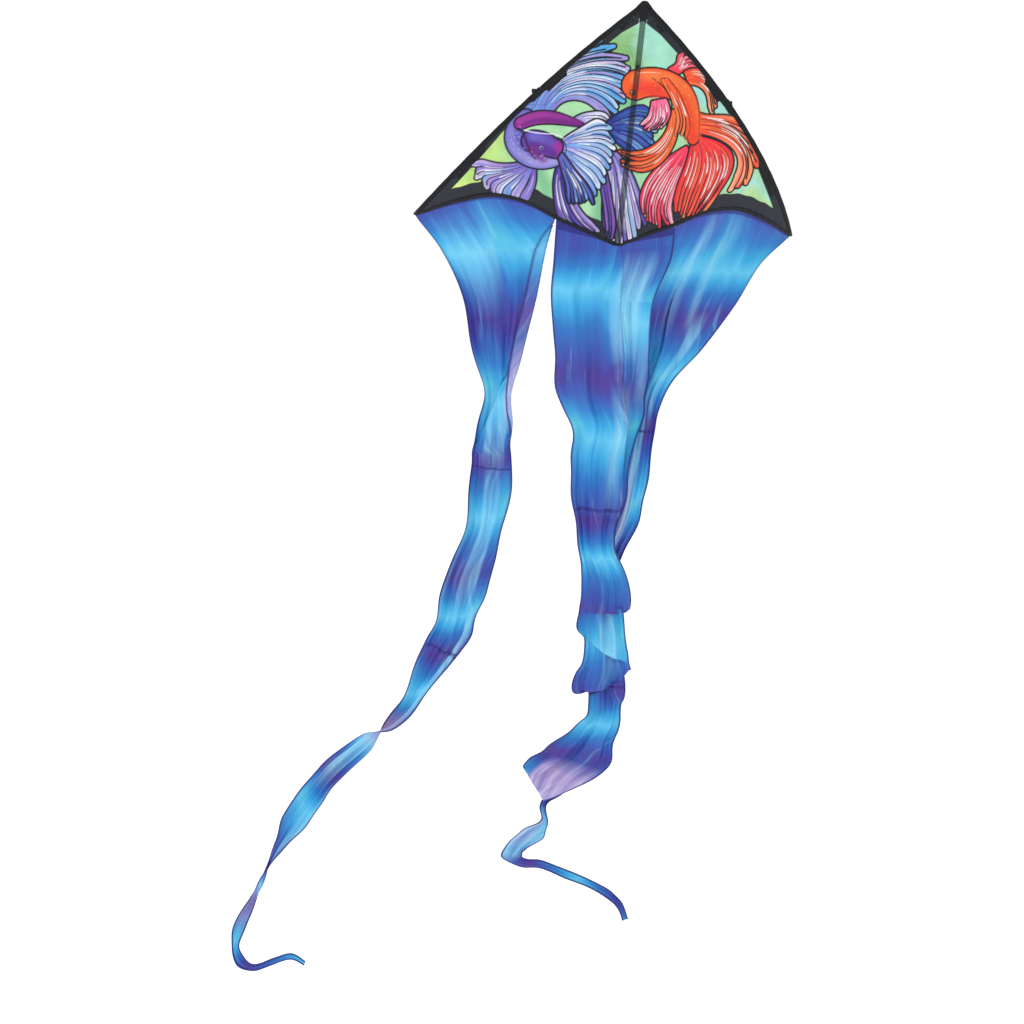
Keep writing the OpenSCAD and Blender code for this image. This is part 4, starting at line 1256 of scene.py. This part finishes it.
class KITE_OT_bindings(bpy.types.Operator):
    """Makes the sleeves, hems, patches, nose piece and spine pocket, with their stitches"""
    bl_idname = "kite.bindings"
    bl_label = "Sleeves, hems and patches"

    def execute(self, context):
        for side, word in ((-1, "left"), (1, "right")):
            body = f"{word}_wing"
            upper = sweep(f"sleeve_upper_{word}", leading_sleeve(
                side, 0.022, FITTING_T - FITTING_GAP, 40, SLEEVE_ROUND), "hem")
            lower = sweep(f"sleeve_lower_{word}", leading_sleeve(
                side, FITTING_T + FITTING_GAP, 0.982, 60, SLEEVE_ROUND), "hem")
            bridge = sweep(f"sleeve_bridge_{word}", leading_sleeve(
                side, FITTING_T - FITTING_GAP - 0.002, FITTING_T + FITTING_GAP + 0.002, 12, SLEEVE_OPEN),
                "hem")
            for piece in (upper, lower, bridge):
                outward(piece)
                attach(piece, body)
            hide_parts(f"leading_edge_sleeve_{word}")

            hem = self.hem_tape(side, word)
            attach(hem, body)
            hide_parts(f"trailing_hem_{word}")

            for kind, box in (("fitting_patch", (0.80, 0.985, 0.34, 0.47)),
                              ("tip_patch", (0.84, 0.985, 0.86, 0.955))):
                patch, outline = self.patch(side, f"{kind}_cloth_{word}", box)
                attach(patch, body)
                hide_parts(f"{kind}_{word}")
                seam = stitched(f"{kind}_stitches_{word}", [outline], 0.00025)
                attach(seam, body)

            lines = []
            for t0, t1 in ((0.05, FITTING_T - FITTING_GAP), (FITTING_T + FITTING_GAP, 0.975)):
                lines.append(self.edge_line(side, t0, t1, EDGE_STITCH_INSET))
            for up in (2.2, 5.6):
                x = np.linspace(HINGE_X + 2, shape().tip_x / MM - 12, 160)
                lines.append(sail_point(side, x, trailing_drop(x) - up, -1.1))
            seams = stitched(f"wing_stitches_{word}", lines)
            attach(seams, body)
        self.spine_parts()
        return {"FINISHED"}

    def edge_line(self, side, t0, t1, inset):
        t = np.linspace(t0, t1, 140)
        x, d = edge_xd(t)
        x2, d2 = edge_xd(t + 0.01)
        run = np.stack([x2 - x, d2 - d], 1)
        run /= np.hypot(*run.T)[:, None]
        px, pd = x - run[:, 1] * inset, d + run[:, 0] * inset
        return sail_point(side, px, pd, billow(px, pd) - 0.25)

    def hem_tape(self, side, word):
        """Folded tape over the trailing edge: front, fold and back in one closed strip."""
        outline = [(7.2, -0.7), (5.0, -0.95), (3.0, -1.0), (0.6, -0.9), (-0.2, 0.0), (0.6, 0.9), (3.0, 1.0),
                   (5.0, 0.95), (7.2, 0.7), (7.3, 0.0)]
        rings = []
        for x in np.linspace(HINGE_X + 0.5, shape().tip_x / MM - 3.5, 180):
            drop = float(trailing_drop(x))
            wave = 0.35 * math.sin(x * 0.42)
            ring = [sail_point(side, x, drop - up, back + wave)[None] for up, back in outline]
            rings.append(np.concatenate(ring))
        tape = sweep(f"hem_tape_{word}", rings, "hem")
        outward(tape)
        return tape

    def patch(self, side, name, box):
        """A reinforcing patch behind the sail, and the line of its stitches."""
        u0, u1, t0, t1 = box
        u = np.linspace(u0, u1, 14)[None, :]
        t = np.linspace(t0, t1, 14)[:, None]
        x, drop = wing_xd(u, t)
        front = sail_point(side, x, drop, billow(x, drop) + 1.3)
        obj = grid_object(name, front, "border", np.stack([x, drop], 2) * MM, flip=side < 0)
        thick = obj.modifiers.new("thickness", "SOLIDIFY")
        thick.thickness = 0.0005
        thick.offset = 0.0
        graph = bpy.context.evaluated_depsgraph_get()
        made = bpy.data.meshes.new_from_object(obj.evaluated_get(graph), depsgraph=graph)
        obj.modifiers.clear()
        obj.data = made
        m = 0.08
        ring = [(u0 + m * (u1 - u0), t0 + m * (t1 - t0)), (u1, t0 + m * (t1 - t0)),
                (u1, t1 - m * (t1 - t0)), (u0 + m * (u1 - u0), t1 - m * (t1 - t0))]
        line = []
        for (ua, ta), (ub, tb) in zip([ring[1], ring[0], ring[3]], [ring[0], ring[3], ring[2]]):
            for k in np.linspace(0, 1, 30, endpoint=False):
                px, pd = wing_xd(ua + (ub - ua) * k, ta + (tb - ta) * k)
                line.append(sail_point(side, px, pd, billow(px, pd) - 0.3))
        return obj, np.array(line)

    def spine_parts(self):
        """The pocket behind the spine, the nose piece and their stitches."""
        outline = np.array([(-5.6, 0.45), (-4.8, 0.6), (-4.0, 1.4), (-3.5, 3.4), (-2.4, 5.2), (0.0, 6.3),
                            (2.4, 5.2),
                            (3.5, 3.4), (4.0, 1.4), (4.8, 0.6), (5.6, 0.45), (5.6, 0.0), (0.0, 0.0),
                            (-5.6, 0.0)])
        top, bottom = 27.0, shape().spine / MM - 12.0
        rings = []
        for drop in np.linspace(top, bottom, 120):
            breathe = 1 + 0.03 * math.sin(drop * 0.21) + 0.02 * math.sin(drop * 0.47)
            back = np.where(outline[:, 1] > 1.0, 1.0 + (outline[:, 1] - 1.0) * breathe, outline[:, 1])
            rings.append(np.stack([outline[:, 0], SAIL_Y + 0.1 + back, np.full(len(outline), NOSE_Z - drop)],
                                  1) * MM)
        pocket = sweep("spine_pocket_cloth", rings, "border")
        outward(pocket)
        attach(pocket, "frame")
        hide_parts("spine_pocket")
        drops = np.linspace(top + 4, bottom - 3, 150)
        lines = [np.stack([np.full(150, x), np.full(150, SAIL_Y - 0.45), NOSE_Z - drops], 1) * MM
                 for x in (-4.9, 4.9)]
        lines += [np.stack([np.full(150, x), np.full(150, SAIL_Y + 0.85), NOSE_Z - drops], 1) * MM
                  for x in (-4.9, 4.9)]
        seam = stitched("spine_stitches", lines)
        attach(seam, "frame")

        nose = np.array([(-4.6, -3.6), (0, -4.0), (4.6, -3.6), (10.5, 2.5), (15.5, 8.5), (13.5, 13.5),
                         (8.6, 19.0),
                         (7.2, 29.0), (0, 31.5), (-7.2, 29.0), (-8.6, 19.0), (-13.5, 13.5), (-15.5, 8.5),
                         (-10.5, 2.5)])
        points, faces = [], []
        layers = [(0.9, -1.6), (1.0, -1.2), (1.0, 1.2), (0.9, 1.6)]
        middle = nose.mean(0)
        for scale, back in layers:
            for x, drop in middle + (nose - middle) * scale:
                points.append(((x) * MM, (SAIL_Y + back) * MM, (NOSE_Z - drop) * MM))
        n = len(nose)
        for layer in range(len(layers) - 1):
            for k in range(n):
                a, b = layer * n + k, layer * n + (k + 1) % n
                faces.append((a, b, b + n, a + n))
        faces.append(tuple(range(n))[::-1])
        faces.append(tuple((len(layers) - 1) * n + k for k in range(n)))
        uv = np.array([(p[0], p[2]) for p in points])
        piece = new_object("nose_piece", points, faces, "hem", uv, smooth=False)
        outward(piece)
        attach(piece, "frame")
        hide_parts("nose_patch")
        inner = middle + (np.vstack([nose, nose[:1]]) - middle) * 0.7
        line = []
        for a, b in zip(inner[:-1], inner[1:]):
            for k in np.linspace(0, 1, 6, endpoint=False):
                x, drop = a + (b - a) * k
                line.append((x * MM, (SAIL_Y - 1.35) * MM, (NOSE_Z - drop) * MM))
        seam = stitched("nose_stitches", [line])
        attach(seam, "frame")


class KITE_OT_tails(bpy.types.Operator):
    """Makes the three cloth tails in their sewn lengths"""
    bl_idname = "kite.tails"
    bl_label = "Tails"

    def execute(self, context):
        tip = shape().tip_x / MM - 2
        for tail, left, right in (
                (LEFT_TAIL, -tip, -SLIT_X - 1), (CENTRE_TAIL, -SLIT_X + 1, SLIT_X - 1),
                (RIGHT_TAIL, SLIT_X + 1, tip)):
            tail["top"] = [list(hem_point(left) / MM), list(hem_point(right) / MM)]
        gore = self.make("tail_centre_gore_left", CENTRE_TAIL, 0, 2, 0.0, 60, "left_wing", "frame",
                         -0.339, -0.436, cols=44, u1=0.5)
        self.make("tail_centre_gore_right", CENTRE_TAIL, 0, 2, 0.0, 60, "right_wing", "frame",
                  -0.339, -0.436, cols=44, u0=0.5)
        for tail, run, lengths in (
                (LEFT_TAIL, 0.0, (
                    ("tail_left_top", 0, 6, 170, "left_wing", "left_tail_top", -0.327, -0.45),
                    ("tail_left_middle", 6, 10, 120, "left_tail_top", "left_tail_middle", -0.792, -0.84),
                    ("tail_left_end", 10, 26, 300, "left_tail_middle", "left_tail_end", -1.157, -1.21))),
                (CENTRE_TAIL, gore, (
                    ("tail_centre_top", 2, 7, 170, "frame", "centre_tail_top", -0.441, -0.52),
                    ("tail_centre_end", 7, 17, 300, "centre_tail_top", "centre_tail_end", -0.846, -0.90))),
                (RIGHT_TAIL, 0.0, (
                    ("tail_right_top", 0, 5, 170, "right_wing", "right_tail_top", -0.327, -0.45),
                    ("tail_right_end", 5, 25, 360, "right_tail_top", "right_tail_end", -0.697, -0.75)))):
            for name, s0, s1, steps, parent, child, start, end in lengths:
                cols = 88 if tail is CENTRE_TAIL else 56
                run += self.make(name, tail, s0, s1, run, steps, parent, child, start, end, cols=cols)
        return {"FINISHED"}

    def make(self, node, tail, s0, s1, run, steps, parent, child, start, end, **width):
        piece, points, long = tail_piece(node + "_cloth", tail, s0, s1, run, steps, **width)
        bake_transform(piece)
        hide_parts(node)
        declare_sheet(points)
        return long


class KITE_PT_panel(bpy.types.Panel):
    """Lists the kite's steps and settings"""
    bl_idname = "KITE_PT_panel"
    bl_label = "Delta Kite"
    bl_space_type = "VIEW_3D"
    bl_region_type = "UI"
    bl_category = "Kite"

    def draw(self, context):
        for group in (context.scene.kite_shape, context.scene.kite_colours):
            box = self.layout.box()
            for name in group.__annotations__:
                box.prop(group, name)
        for operator in STEPS:
            self.layout.operator(operator.bl_idname)


STEPS = (KITE_OT_stage, KITE_OT_hardware, KITE_OT_sail, KITE_OT_bindings, KITE_OT_tails)
CLASSES = (KiteShape, KiteColours) + STEPS + (KITE_PT_panel,)


def register():
    for cls in CLASSES:
        bpy.utils.register_class(cls)
    bpy.types.Scene.kite_shape = bpy.props.PointerProperty(type=KiteShape)
    bpy.types.Scene.kite_colours = bpy.props.PointerProperty(type=KiteColours)


def unregister():
    del bpy.types.Scene.kite_colours
    del bpy.types.Scene.kite_shape
    for cls in reversed(CLASSES):
        bpy.utils.unregister_class(cls)


def main():
    register()
    bpy.ops.kite.stage()
    bpy.ops.kite.hardware()
    bpy.ops.kite.sail()
    bpy.ops.kite.bindings()
    bpy.ops.kite.tails()


if __name__ == "__main__":
    main()
